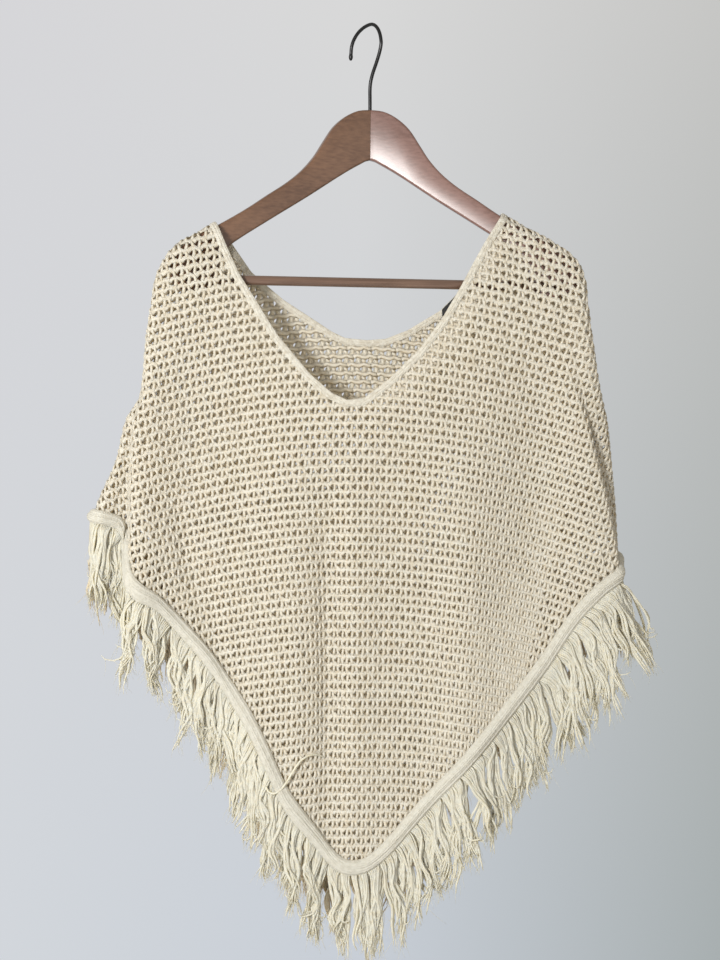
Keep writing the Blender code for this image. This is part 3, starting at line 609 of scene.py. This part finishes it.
def make_net(name, face, detail, yarn, pillar, roughly, material, replaced):
    """Rows of wavy yarn joined by slanting pillars, with a big and a small hole to a cell.

    Each strand of a row is two cells long. detail is the points and sides of those strands,
    and then of the pillars. roughly is how uneven the knit is.
    """
    row, cell = np.meshgrid(np.arange(ROWS), np.arange(-CELLS, CELLS), indexing="ij")
    row, cell = row.ravel()[:, None].astype(float), cell.ravel()[:, None].astype(float)
    cell = cell + 0.5 * (row % 2)
    uneven = roughly * np.random.RandomState(5).uniform(-1.0, 1.0, (9, len(cell), 1))
    pair = np.arange(0, len(cell), 2)
    mesh_count, mesh_sides, pillar_count, pillar_sides = detail
    paths, normals, kept = face.strands(
        lambda t: cell[pair] - 0.04 + 2.08 * t,
        lambda t: row[pair] + MESH_WAVE * np.cos(4.0 * math.pi * t + 0.7) + 0.05 * uneven[4][pair],
        lambda t: MESH_LIFT * (np.cos(8.0 * math.pi * t) - 1.0) + 0.0 * cell[pair], mesh_count)
    lumps = 1.0 + MESH_LUMPS * np.cos(8.0 * math.pi * np.linspace(0.0, 1.0, mesh_count))[None, :]
    lumps = lumps * (1.0 + 0.1 * uneven[5][pair][kept])
    parts = [yarns(paths, normals, yarn[0] * lumps, yarn[1] * lumps, mesh_sides, 0.0)]
    for k, (low, high) in enumerate(PILLARS):
        paths, normals, kept = face.strands(
            lambda t, low=low, high=high, k=k: cell + high + (low - high) * t
            + 0.03 * uneven[k] + 0.03 * np.sin(math.pi * t) * uneven[k + 2],
            lambda t: row + PILLAR_SPAN[0] + PILLAR_SPAN[1] * t + 0.0 * cell,
            lambda t: PILLAR_LIFT[1] * np.sin(math.pi * t) + PILLAR_LIFT[0] + 0.0 * cell,
            pillar_count)
        around = np.cos(math.tau * np.linspace(0.0, 1.0, pillar_count))[None, :]
        waist = (1.0 + PILLAR_WAIST * around) * (1.0 + 0.16 * uneven[k + 6][kept])
        parts.append(yarns(paths, normals, pillar[0] * waist, pillar[1], pillar_sides,
                           0.5 * (pillar_sides % 2)))
    return add_mesh(name, join(parts), material, replaced)


# ---- bands ----

def make_neck_band(material):
    """One ring with fine ribs outside and a rolled inner edge."""
    across = np.cos(np.linspace(math.pi, 0.0, 260))
    front = np.arccos(-across)
    back = (math.tau - front)[::-1][1:-1]
    share = np.linspace(0.0, 1.0, 13)
    sections = []
    for angles, in_front in ((front, True), (back, False)):
        inner = neck_drop(angles, in_front, 0.0)
        outer = neck_drop(angles, in_front, NECK_BAND + 0.6)
        for side in (1.0, -1.0):
            order = share if side > 0 else share[::-1]
            drop = inner[:, None] + (outer - inner)[:, None] * order[None, :]
            ring = np.repeat(angles[:, None], len(share), axis=1)
            round_edge = np.sqrt(np.clip(1.0 - (2.0 * order - 1.0) ** 6, 0.05, 1.0))
            rib = NECK_RIB_HEIGHT * (np.abs(np.cos(math.pi * NECK_RIBS * order)) - 0.5)
            high = ((BAND_WALL - 0.9) / 2.0 + rib) * round_edge
            sections.append(tube(ring, drop) + side * outward(ring, drop) * high[None, :, None])
    rings = np.concatenate([np.concatenate(sections[:2], axis=1),
                            np.concatenate(sections[2:], axis=1)], axis=0)
    return add_mesh("ribbed_neck_band", loop_strip(rings, True), material,
                    ("neck_band",))


def fine_hem(in_front, count):
    """The hem line with many columns: ring angles, points, normals and ways down."""
    angles = np.linspace(0.004, math.pi - 0.004, count)
    if not in_front:
        angles = math.tau - angles
    drop = hem_drop(angles, in_front)
    points, normals = tube(angles, drop), outward(angles, drop)
    down = unit(tube(angles, drop + 1.0) - points)
    along = unit(np.gradient(points, axis=0))
    square = np.linalg.norm(np.cross(along, down), axis=1)
    square = np.convolve(np.pad(square, 8, mode="edge"), np.ones(17) / 17.0, mode="valid")
    return points, normals, down / np.maximum(square, STEEPEST)[:, None], along


def roll(share, start, end):
    """Height of a soft roll between two places of the hem band's width."""
    place = (2.0 * share - start - end) / (end - start)
    return (end - start) * np.sqrt(np.clip(1.0 - place ** 2, 0.0, 1.0))


def make_hem(face, material):
    """Two soft rolls with fine ribs along the hem, and the seam between them."""
    points, normals, down, _ = fine_hem(face == "front", 420)
    width = HEM_BAND + 0.4
    share = np.linspace(0.0, 1.0, 37)
    seam = np.interp(points[:, 0], SEAM_ENDS, SEAM_PLACES)[:, None]
    parted = np.maximum(roll(share, -0.02, seam + 0.03), roll(share, seam - 0.03, 1.02))
    high = HEM_ROLL * ((1.0 - SEAM_SHARE) * roll(share, -0.02, 1.02) + SEAM_SHARE * parted)
    high = 0.3 + high + RIB_DEPTH * (np.abs(np.cos(math.pi * HEM_RIBS * share)) - 1.0)
    outer = (points[:, None] + down[:, None] * (share * width)[None, :, None]
             + normals[:, None] * high[:, :, None])
    back_share = share[::-3]
    inner = (points[:, None] + down[:, None] * (back_share * width)[None, :, None]
             - normals[:, None] * (BAND_WALL / 2.0 - 0.3))
    shape = loop_strip(np.concatenate([outer, inner], axis=1), False)
    return add_mesh(f"ribbed_hem_{face}", shape, material, (f"hem_band_{face}",))


# ---- the fringe ----

def hem_roots(in_front, on_left):
    """The line that one half of a fringe hangs from, with its directions and its stretch."""
    points, normals, down, along = fine_hem(in_front, 900)
    foot = points + down * (HEM_BAND - 1.5)
    length = np.concatenate([[0.0], np.cumsum(np.linalg.norm(np.diff(foot, axis=0), axis=1))])
    split = length[np.argmin(foot[:, 2])]
    square = unit(down - along * np.sum(down * along, axis=1, keepdims=True))
    run = unit(along * np.array([1.0, 1.0, 0.0]))
    run = run * np.sign(run[:, :1] + 1e-9)
    ends = (0.0, split) if on_left else (split, length[-1])
    return length, (foot, normals, run, square), ends


def make_yarn_fringe(face, side, material):
    """Soft tapered yarns that hang from the hem band, gathered into wavy pointed locks."""
    in_front, on_left = face == "front", side == "left"
    random = np.random.RandomState(11 + 7 * in_front + 3 * (not on_left))   # each its own draws
    length, lines, (first, last) = hem_roots(in_front, on_left)
    t = np.linspace(0.0, 1.0, STRAND_POINTS)[None, :]
    grown = np.clip(2.2 * t, 0.0, 1.0)
    parts = []
    for lift, pitch, reach in FRINGE_LAYERS:
        edges = [first]
        while edges[-1] < last:
            edges.append(edges[-1] + random.uniform(*LOCK_WIDTHS))
        edges = np.minimum(edges, last)
        locks = len(edges) - 1
        each = np.maximum(np.round(np.diff(edges) / pitch).astype(int), 1)
        lock = np.repeat(np.arange(locks), each)
        count = len(lock)
        share = np.concatenate([(np.arange(n) + 0.5) / n for n in each])
        place = edges[lock] + share * (edges[lock + 1] - edges[lock])
        middle = (edges[lock] + edges[lock + 1]) / 2.0
        foot, normals, run, square = (
            np.stack([np.interp(place, length, line[:, k]) for k in range(3)], axis=1)
            for line in lines)

        def by_lock(low, high):
            return random.uniform(low, high, locks)[lock][:, None]

        def by_yarn(spread):
            return random.normal(0.0, spread, count)[:, None]

        root = foot + normals * lift
        long = FRINGE_LENGTH * reach * (by_lock(*LOCK_LENGTHS) + by_yarn(0.05))
        near = np.exp(-((root[:, :1] - POINT_X) / POINT_WIDTH) ** 2)
        gather = np.minimum(by_lock(*LOCK_GATHER) + 0.1 * near, 0.94)
        pull = (middle - place)[:, None] * gather * np.clip(t / 0.42, 0.0, 1.0) ** 0.8
        wave = by_lock(*LOCK_WAVES) * grown * np.sin(
            math.tau * (by_lock(0.7, 1.6) * t + by_lock(0, 1)) + by_yarn(0.25))
        own = 1.4 * np.sin(math.tau * (by_lock(1.4, 2.6) * t) + by_yarn(1.5)) * grown
        own = own + by_yarn(1.6) * t ** 1.2
        swing = ROOT_SWING * square[:, :1] * (1.0 - np.exp(-9.0 * t))
        out = np.interp(root[:, :1], *zip(*FRINGE_SWING)) * by_lock(0.5, 1.1)
        out = out * (1.0 if in_front else BACK_SWING)
        clump = np.add.reduceat(edges[:-1], np.arange(0, locks, CLUMP))
        clump = clump / np.diff(np.append(np.arange(0, locks, CLUMP), locks))
        lean = (clump[lock // CLUMP] - edges[lock])[:, None]
        lean = lean * (by_lock(0.35, 0.85) + 0.1 * near) * t ** 1.3
        sideways = (pull + lean + wave + own + swing + out * t ** 0.6
                    + by_lock(-4.0, 4.0) * t ** 1.3 + by_yarn(1.6) * t ** 4)
        curled = (random.uniform(0.0, 1.0, count) < CURLED)[:, None]
        bend = np.clip((t - CURL_START) / (1.0 - CURL_START), 0.0, 1.0) * CURL_TURN
        radius = random.uniform(*CURL_RADII, count)[:, None] * curled
        sideways = sideways + radius * (1.0 - np.cos(bend)) * np.sign(by_yarn(1.0))
        below = long * np.where(curled, np.minimum(t, CURL_START), t) + radius * np.sin(bend)
        depth = by_lock(-2.5, 2.5) * t + np.clip(by_yarn(0.7), -1.5, 1.5) * grown + 0.4 * lift * t
        path = root[:, None] + run[:, None] * sideways[:, :, None]
        path[:, :, 1] += depth
        path[:, :, 2] -= below - 0.35 * np.abs(out) * t * (1.0 - t)
        aside = by_yarn(0.35) + by_yarn(0.6) * t
        facing = np.stack([np.sin(aside), -np.cos(aside), 0.0 * aside], axis=-1)
        wide = random.uniform(*STRAND_WIDE, count)[:, None] * (0.72 + 0.36 * np.sin(math.pi * t))
        wide = wide * np.clip((1.06 - t) / 0.36, 0.0, 1.0) ** 0.7
        parts.append(yarns(path, facing, wide, np.minimum(STRAND_HIGH, wide), STRAND_SIDES))
        for low, high in ((4, STRAND_POINTS - 3), (7, STRAND_POINTS - 1)):
            parts.append(fibres(path, random.randint(low, high, count), random))
        parts.append(fibres(path, np.full(count, STRAND_POINTS - 2), random))
    return add_mesh(f"yarns_{face}_{side}", join(parts), material,
                    (f"fringe_{face}_{side}",))


def fibres(paths, starts, random):
    """A thin curled fibre that stands off each yarn from one of its points."""
    root = paths[np.arange(len(paths)), starts]
    count = len(root)
    t = np.linspace(0.0, 1.0, 5)[None, :]
    long = random.uniform(*FIBRE_LENGTHS, (count, 1))
    x = (long * 0.35 * random.normal(0.0, 1.0, (count, 1)) * t
         + random.uniform(-2.5, 2.5, (count, 1)) * np.sin(2.8 * t))
    y = random.uniform(-3.0, 2.0, (count, 1)) * t
    path = root[:, None] + np.stack([x, y, -long * t], axis=-1)
    thick = FIBRE * (1.0 - 0.6 * t)
    return yarns(path, FORWARD, thick, thick, 3)


def make_loose_yarn(face, material):
    """A snagged yarn that hangs in a bow from the front, low on the left."""
    knots = np.linspace(0.0, 1.0, len(LOOSE_ROUTE))
    share = np.linspace(0.0, 1.0, 46)
    x, drop, lift = (hermite(knots, [point[k] for point in LOOSE_ROUTE], share)
                     for k in range(3))
    y = face.look(face.points, x - MIDDLE_X, drop)[:, 1] - lift
    path = np.stack([x, y, -drop], axis=-1)[None]
    shape = join([yarns(path, FORWARD, LOOSE_HALF, LOOSE_HALF, 6)])
    return add_mesh("loose_yarn", shape, material)


# ---- the hanger ----

def hanger_matrix():
    """Turn of the whole hanger about the middle of its top."""
    apex = Vector((0.0, 0.0, -APEX_DROP * MM))
    return Matrix.Translation(apex) @ Matrix.Rotation(HANGER_TILT, 4, "Y") \
        @ Matrix.Translation(-apex)


def fine_outline(points, count):
    """A smooth line through an outline's points."""
    steps = np.linalg.norm(np.diff(np.array(points, float), axis=0), axis=1)
    place = np.concatenate([[0.0], np.cumsum(steps)])
    at = np.linspace(0.0, place[-1], count)
    return list(zip(*(hermite(place, [p[k] for p in points], at) for k in range(2))))


def make_wooden_arm(side, material):
    """One half of the hanger: a board with rounded edges, turned forward and mitred."""
    stretch = 1.0 / math.cos(ARM_ANGLE)
    outline = fine_outline(ARM_TOP, 60) + fine_outline(ARM_FOOT, 46)
    outline = [(x * stretch, drop) for x, drop in outline]
    outline[0] = (-MITRE_SPARE, outline[0][1])
    outline[-1] = (-MITRE_SPARE, outline[-1][1])

    work = bmesh.new()
    ring = [work.verts.new((x * MM, -ARM_THICK / 2.0 * MM, -drop * MM)) for x, drop in outline]
    board = work.faces.new(ring)
    pushed = bmesh.ops.extrude_face_region(work, geom=[board])
    back = [item for item in pushed["geom"] if isinstance(item, bmesh.types.BMVert)]
    bmesh.ops.translate(work, verts=back, vec=(0.0, ARM_THICK * MM, 0.0))
    bmesh.ops.recalc_face_normals(work, faces=work.faces)
    rim = [edge for edge in work.edges
           if abs(edge.verts[0].co.y - edge.verts[1].co.y) < 1e-6]
    bmesh.ops.bevel(work, geom=rim, offset=ARM_BEVEL * MM, segments=4, profile=0.5,
                    affect="EDGES", clamp_overlap=True)
    bmesh.ops.rotate(work, verts=work.verts, cent=(0, 0, 0),
                     matrix=Matrix.Rotation(-ARM_ANGLE, 3, "Z"))
    cut = bmesh.ops.bisect_plane(work, geom=work.verts[:] + work.edges[:] + work.faces[:],
                                 plane_co=(MITRE_GAP * MM, 0, 0), plane_no=(1, 0, 0),
                                 clear_inner=True)
    open_edges = [item for item in cut["geom_cut"] if isinstance(item, bmesh.types.BMEdge)]
    bmesh.ops.holes_fill(work, edges=open_edges, sides=0)
    if side == "left":
        bmesh.ops.scale(work, verts=work.verts, vec=(-1.0, 1.0, 1.0))
        bmesh.ops.reverse_faces(work, faces=work.faces)
    bmesh.ops.transform(work, verts=work.verts, matrix=hanger_matrix())
    mesh = bpy.data.meshes.new(f"arm_{side}")
    work.to_mesh(mesh)
    work.free()
    mesh.shade_smooth()
    mesh.set_sharp_from_angle(angle=math.radians(30))
    return dress(add_object(f"arm_{side}", mesh), material, (f"hanger_arm_{side}",))


def make_round_bar(material):
    """The trouser bar, with slanted ends against the arms."""
    sides = 40
    y_bar, drop = BAR_PLACE
    face = (ARM_THICK / 2.0 - BAR_SEAT) / math.cos(ARM_ANGLE)
    turns = math.tau * np.arange(sides) / sides
    rings = []
    for share in np.linspace(-1.0, 1.0, 13):
        y = y_bar + BAR_DIAMETER / 2.0 * np.cos(turns)
        reach = (-y - face) / math.tan(ARM_ANGLE)
        rings.append(np.stack([share * reach, y, -drop + BAR_DIAMETER / 2.0 * np.sin(turns)], 1))
    shape = loop_strip(np.array(rings), False)
    bar = add_mesh("round_bar", shape, material, ("hanger_bar",))
    bar.data.transform(hanger_matrix())
    return bar


def make_wire_hook(material):
    """The black wire, with a small ball at its tip."""
    top = WIRE / 2.0
    waist = top - CROOK_HEIGHT
    flat = [(0.0, -(APEX_DROP + 4.0)), (0.0, -80.0), (0.0, -68.0), (1.2, -60.0), (5.0, -51.0),
            (11.0, -41.0), (16.2, -31.0)]
    for angle in [15.0 * k for k in range(7)] + [90.0 + 90.0 * k / 7 for k in range(1, 8)]:
        a = math.radians(angle)
        reach = CROOK_NEAR if angle <= 90.0 else CROOK_FAR
        flat.append((reach * math.cos(a), waist + CROOK_HEIGHT * math.sin(a)))
    flat.append((-CROOK_FAR - 0.8, waist - 9.0))
    flat = np.array(fine_outline(flat, 150))
    path = np.stack([flat[:, 0] * HOOK_DIRECTION[0], flat[:, 0] * HOOK_DIRECTION[1],
                     flat[:, 1]], axis=-1)[None]
    facing = (HOOK_DIRECTION[1], -HOOK_DIRECTION[0], 0.0)
    radius = np.full(path.shape[1], WIRE / 2.0)
    tip = np.linspace(0.0, 1.0, 7)
    radius[-7:] = WIRE / 2.0 * (1.0 + 0.22 * np.sin(math.pi * tip)) * np.sqrt(1.0 - 0.8 * tip ** 4)
    shape = join([yarns(path, facing, radius, radius, 16)])
    return add_mesh("wire_hook", shape, material, ("hanger_hook",))


# ---- materials ----

def linear(red, green, blue):
    """Screen colour, 0 to 255, as the shader's colour."""
    return tuple((c / 255.0 / 12.92) if c / 255.0 <= 0.04045
                 else ((c / 255.0 + 0.055) / 1.055) ** 2.4 for c in (red, green, blue))


def new_material(name, **settings):
    """A material with its node tree and its shader, whose inputs are set by their names."""
    material = bpy.data.materials.new(name)
    material.use_nodes = True
    tree = material.node_tree
    shader = tree.nodes["Principled BSDF"]
    for key, value in settings.items():
        shader.inputs[key.replace("_", " ")].default_value = value
    return material, tree, shader


def noise(tree, scale, detail, stretch=(1.0, 1.0, 1.0), angle=0.0):
    """Noise in the object's own space, turned by an angle about its y axis."""
    place = tree.nodes.new("ShaderNodeTexCoord")
    mapping = tree.nodes.new("ShaderNodeMapping")
    mapping.inputs["Scale"].default_value = stretch
    mapping.inputs["Rotation"].default_value = (0.0, angle, 0.0)
    texture = tree.nodes.new("ShaderNodeTexNoise")
    texture.inputs["Scale"].default_value = scale
    texture.inputs["Detail"].default_value = detail
    tree.links.new(place.outputs["Object"], mapping.inputs["Vector"])
    tree.links.new(mapping.outputs["Vector"], texture.inputs["Vector"])
    return texture.outputs["Fac"]


def ramp(tree, source, stops):
    """Colours over a value, from (place, colour) stops."""
    node = tree.nodes.new("ShaderNodeValToRGB")
    while len(node.color_ramp.elements) < len(stops):
        node.color_ramp.elements.new(0.5)
    for element, (place, colour) in zip(node.color_ramp.elements, stops):
        element.position = place
        element.color = (*colour, 1.0)
    tree.links.new(source, node.inputs["Fac"])
    return node.outputs["Color"]


def bump(tree, shader, source, strength, distance):
    """Relief from a value, its distance in metres."""
    node = tree.nodes.new("ShaderNodeBump")
    node.inputs["Strength"].default_value = strength
    node.inputs["Distance"].default_value = distance
    tree.links.new(source, node.inputs["Height"])
    tree.links.new(node.outputs["Normal"], shader.inputs["Normal"])


def yarn_material(name, light, dark, through_colour, through_share, fuzz=0.0011):
    """Soft cream yarn with uneven colour, fine fuzz and warm light through it."""
    material, tree, shader = new_material(name, Roughness=0.9, Specular_IOR_Level=0.15,
                                          Sheen_Weight=0.25, Sheen_Roughness=0.5)
    colour = ramp(tree, noise(tree, 240.0, 5.0), [(0.34, dark), (0.6, light)])
    tree.links.new(colour, shader.inputs["Base Color"])
    bump(tree, shader, noise(tree, 620.0, 3.0), 0.6, fuzz)
    through = tree.nodes.new("ShaderNodeBsdfTranslucent")
    through.inputs["Color"].default_value = (*through_colour, 1.0)
    mix = tree.nodes.new("ShaderNodeMixShader")
    mix.inputs["Fac"].default_value = through_share
    tree.links.new(shader.outputs["BSDF"], mix.inputs[1])
    tree.links.new(through.outputs["BSDF"], mix.inputs[2])
    tree.links.new(mix.outputs["Shader"], tree.nodes["Material Output"].inputs["Surface"])
    return material


def wood_material(name, grain_angle, light, dark, roughness):
    """Lacquered wood with fine grain along the piece."""
    material, tree, shader = new_material(name, Roughness=roughness, Coat_Weight=0.35,
                                          Coat_Roughness=0.28)
    grain = noise(tree, 420.0, 4.0, (0.05, 1.0, 1.0), grain_angle)
    cloud = noise(tree, 22.0, 3.0, (0.4, 1.0, 1.0), grain_angle)
    mixed = tree.nodes.new("ShaderNodeMix")
    mixed.data_type = "FLOAT"
    mixed.inputs["Factor"].default_value = 0.45
    tree.links.new(grain, mixed.inputs["A"])
    tree.links.new(cloud, mixed.inputs["B"])
    colour = ramp(tree, mixed.outputs["Result"], [(0.36, dark), (0.62, light)])
    tree.links.new(colour, shader.inputs["Base Color"])
    bump(tree, shader, grain, 0.12, 0.0004)
    return material


def plain_material(name, colour, roughness, metallic=0.0):
    """One colour with soft cloudy shades."""
    material, tree, shader = new_material(name, Roughness=roughness, Metallic=metallic)
    shade = ramp(tree, noise(tree, 300.0, 2.0),
                 [(0.3, tuple(0.8 * c for c in colour)), (0.7, colour)])
    tree.links.new(shade, shader.inputs["Base Color"])
    return material


# ---- floor, light and camera ----

def make_floor():
    """A round pale floor, well below the hem."""
    mesh = bpy.data.meshes.new("floor")
    angles = [math.tau * k / FLOOR_CORNERS for k in range(FLOOR_CORNERS)]
    ring = [(FLOOR_RADIUS * math.cos(a), FLOOR_RADIUS * math.sin(a), FLOOR_Z) for a in angles]
    mesh.from_pydata(ring, [], [tuple(range(FLOOR_CORNERS))])
    floor = add_object("floor", mesh)
    material, tree, shader = new_material("floor_pale", Roughness=0.9)
    shade = ramp(tree, noise(tree, 3.0, 2.0),
                 [(0.3, (0.60, 0.60, 0.60)), (0.7, (0.64, 0.64, 0.63))])
    tree.links.new(shade, shader.inputs["Base Color"])
    mesh.materials.append(material)


def between(tree, source, start, end):
    """Share of the way of a value from start to end."""
    node = tree.nodes.new("ShaderNodeMapRange")
    node.inputs["From Min"].default_value = start
    node.inputs["From Max"].default_value = end
    tree.links.new(source, node.inputs["Value"])
    return node.outputs["Result"]


def blend_colours(tree, share):
    """A node that mixes two colours by a share."""
    node = tree.nodes.new("ShaderNodeMix")
    node.data_type = "RGBA"
    tree.links.new(share, node.inputs["Factor"])
    return node


def make_world():
    """A pale wall's colours behind the object, with painted light and shade across them, and a
    soft even light from all round.
    """
    world = bpy.data.worlds.new("studio")
    bpy.context.scene.world = world
    world.use_nodes = True
    tree = world.node_tree
    backdrop = tree.nodes["Background"]
    place = tree.nodes.new("ShaderNodeTexCoord")
    parts = tree.nodes.new("ShaderNodeSeparateXYZ")
    tree.links.new(place.outputs["Generated"], parts.inputs["Vector"])
    across = between(tree, parts.outputs["X"], -0.08, 0.32)
    wall = blend_colours(tree, between(tree, parts.outputs["Z"], 0.24, -0.24))
    for colours, end in ((UPPER_WALL_PAINTED_LIGHT, "A"), (LOWER_WALL_PAINTED_LIGHT, "B")):
        shades = ramp(tree, across, [(0.5 * k, linear(*c)) for k, c in enumerate(colours)])
        tree.links.new(shades, wall.inputs[end])
    room = blend_colours(tree, between(tree, parts.outputs["Y"], 0.6, 0.88))
    room.inputs["A"].default_value = (*ROOM_LIGHT, 1.0)
    tree.links.new(wall.outputs["Result"], room.inputs["B"])
    tree.links.new(room.outputs["Result"], backdrop.inputs["Color"])


def area_light(name, place, size, power, colour):
    """A soft light that points at the middle of the garment."""
    data = bpy.data.lights.new(name, "AREA")
    data.shape = "RECTANGLE"
    data.size, data.size_y = size
    data.energy = power
    data.color = colour
    lamp = add_object(name, data)
    lamp.location = place
    lamp.rotation_euler = (Vector(LIT_POINT) - Vector(place)).to_track_quat("-Z", "Y").to_euler()


def make_camera():
    """A level camera that looks at the garment from a little to the left."""
    data = bpy.data.cameras.new("camera")
    camera = add_object("camera", data)
    data.sensor_width = SENSOR
    data.lens = CAMERA_FOCAL * SENSOR
    back = Vector((math.sin(CAMERA_AZIMUTH), -math.cos(CAMERA_AZIMUTH), 0.0))
    camera.location = Vector(CAMERA_TARGET) + back * CAMERA_DISTANCE
    camera.rotation_euler = (-back).to_track_quat("-Z", "Y").to_euler()
    data.clip_start, data.clip_end = 0.05, 50.0
    bpy.context.scene.camera = camera


# ---- the whole ----

def build_cloth():
    """For the front and the back, its net followed by the pieces that go with it."""
    knit = yarn_material("knit_yarn", (0.815, 0.80, 0.725), (0.71, 0.665, 0.555),
                         (0.90, 0.77, 0.54), 0.42)
    band = yarn_material("band_knit", (0.69, 0.675, 0.605), (0.60, 0.58, 0.505),
                         (0.9, 0.8, 0.6), 0.3, 0.0022)
    neck_band = yarn_material("neck_knit", (0.76, 0.735, 0.655), (0.60, 0.56, 0.475),
                              (0.9, 0.8, 0.6), 0.3, 0.003)
    fringe = yarn_material("fringe_yarn", (0.85, 0.86, 0.81), (0.805, 0.775, 0.67),
                           (0.90, 0.83, 0.62), 0.5)
    # The back fringe is the same yarn as the front one, given darker, tanner colours as painted
    # shade for where it hangs in shadow.
    behind = yarn_material("fringe_behind_painted_shade", (0.82, 0.77, 0.64), (0.74, 0.64, 0.46),
                           (0.90, 0.78, 0.55), 0.45)
    front, back = Face(True), Face(False)
    front_net = make_net("net_front", front, (9, 5, 3, 4), MESH_YARN, PILLAR_YARN, 1.0,
                         knit, ("front_panel",))
    back_net = make_net("net_back", back, (7, 4, 3, 3), BACK_MESH_YARN, BACK_PILLAR_YARN, 0.3,
                        knit, ("back_panel",))
    neck = make_neck_band(neck_band)
    front_hem, back_hem = make_hem("front", band), make_hem("back", band)
    strands = [[make_yarn_fringe(face, side, yarn) for side in ("left", "right")]
               for face, yarn in (("front", fringe), ("back", behind))]
    loose = make_loose_yarn(front, fringe)
    return ([front_net, front_hem, *strands[0], loose], [back_net, neck, back_hem, *strands[1]])


def build_hanger():
    """The arms, the bar and the hook."""
    # The two arms are one wood in a shaded and a lit copy: the left arm's darker, browner colours
    # are painted shade, and the right arm's lighter, pinker colours are painted sheen.
    left_wood_painted_shade = wood_material("wood_left_painted_shade", math.radians(-30.0), linear(110, 80, 60),
                              linear(84, 58, 42), 0.42)
    right_wood_painted_sheen = wood_material("wood_right_painted_sheen", math.radians(30.0), linear(120, 91, 83),
                               linear(98, 71, 63), 0.3)
    bar_wood = wood_material("wood_bar", 0.0, linear(110, 86, 72), linear(86, 65, 53), 0.3)
    make_wooden_arm("left", left_wood_painted_shade)
    make_wooden_arm("right", right_wood_painted_sheen)
    make_round_bar(bar_wood)
    make_wire_hook(plain_material("hook_black", (0.012, 0.012, 0.013), 0.35, 0.4))


def main():
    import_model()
    cloth = build_cloth()
    build_hanger()
    label = bpy.data.objects["label"]
    label.data.materials.clear()
    label.data.materials.append(plain_material("label_black", (0.016, 0.017, 0.018), 0.8))
    make_floor()
    make_world()
    area_light("window", *WINDOW)
    area_light("fill", *FILL)
    make_camera()
    view = bpy.context.scene.view_settings
    view.view_transform, view.look = "Standard", "None"


main()
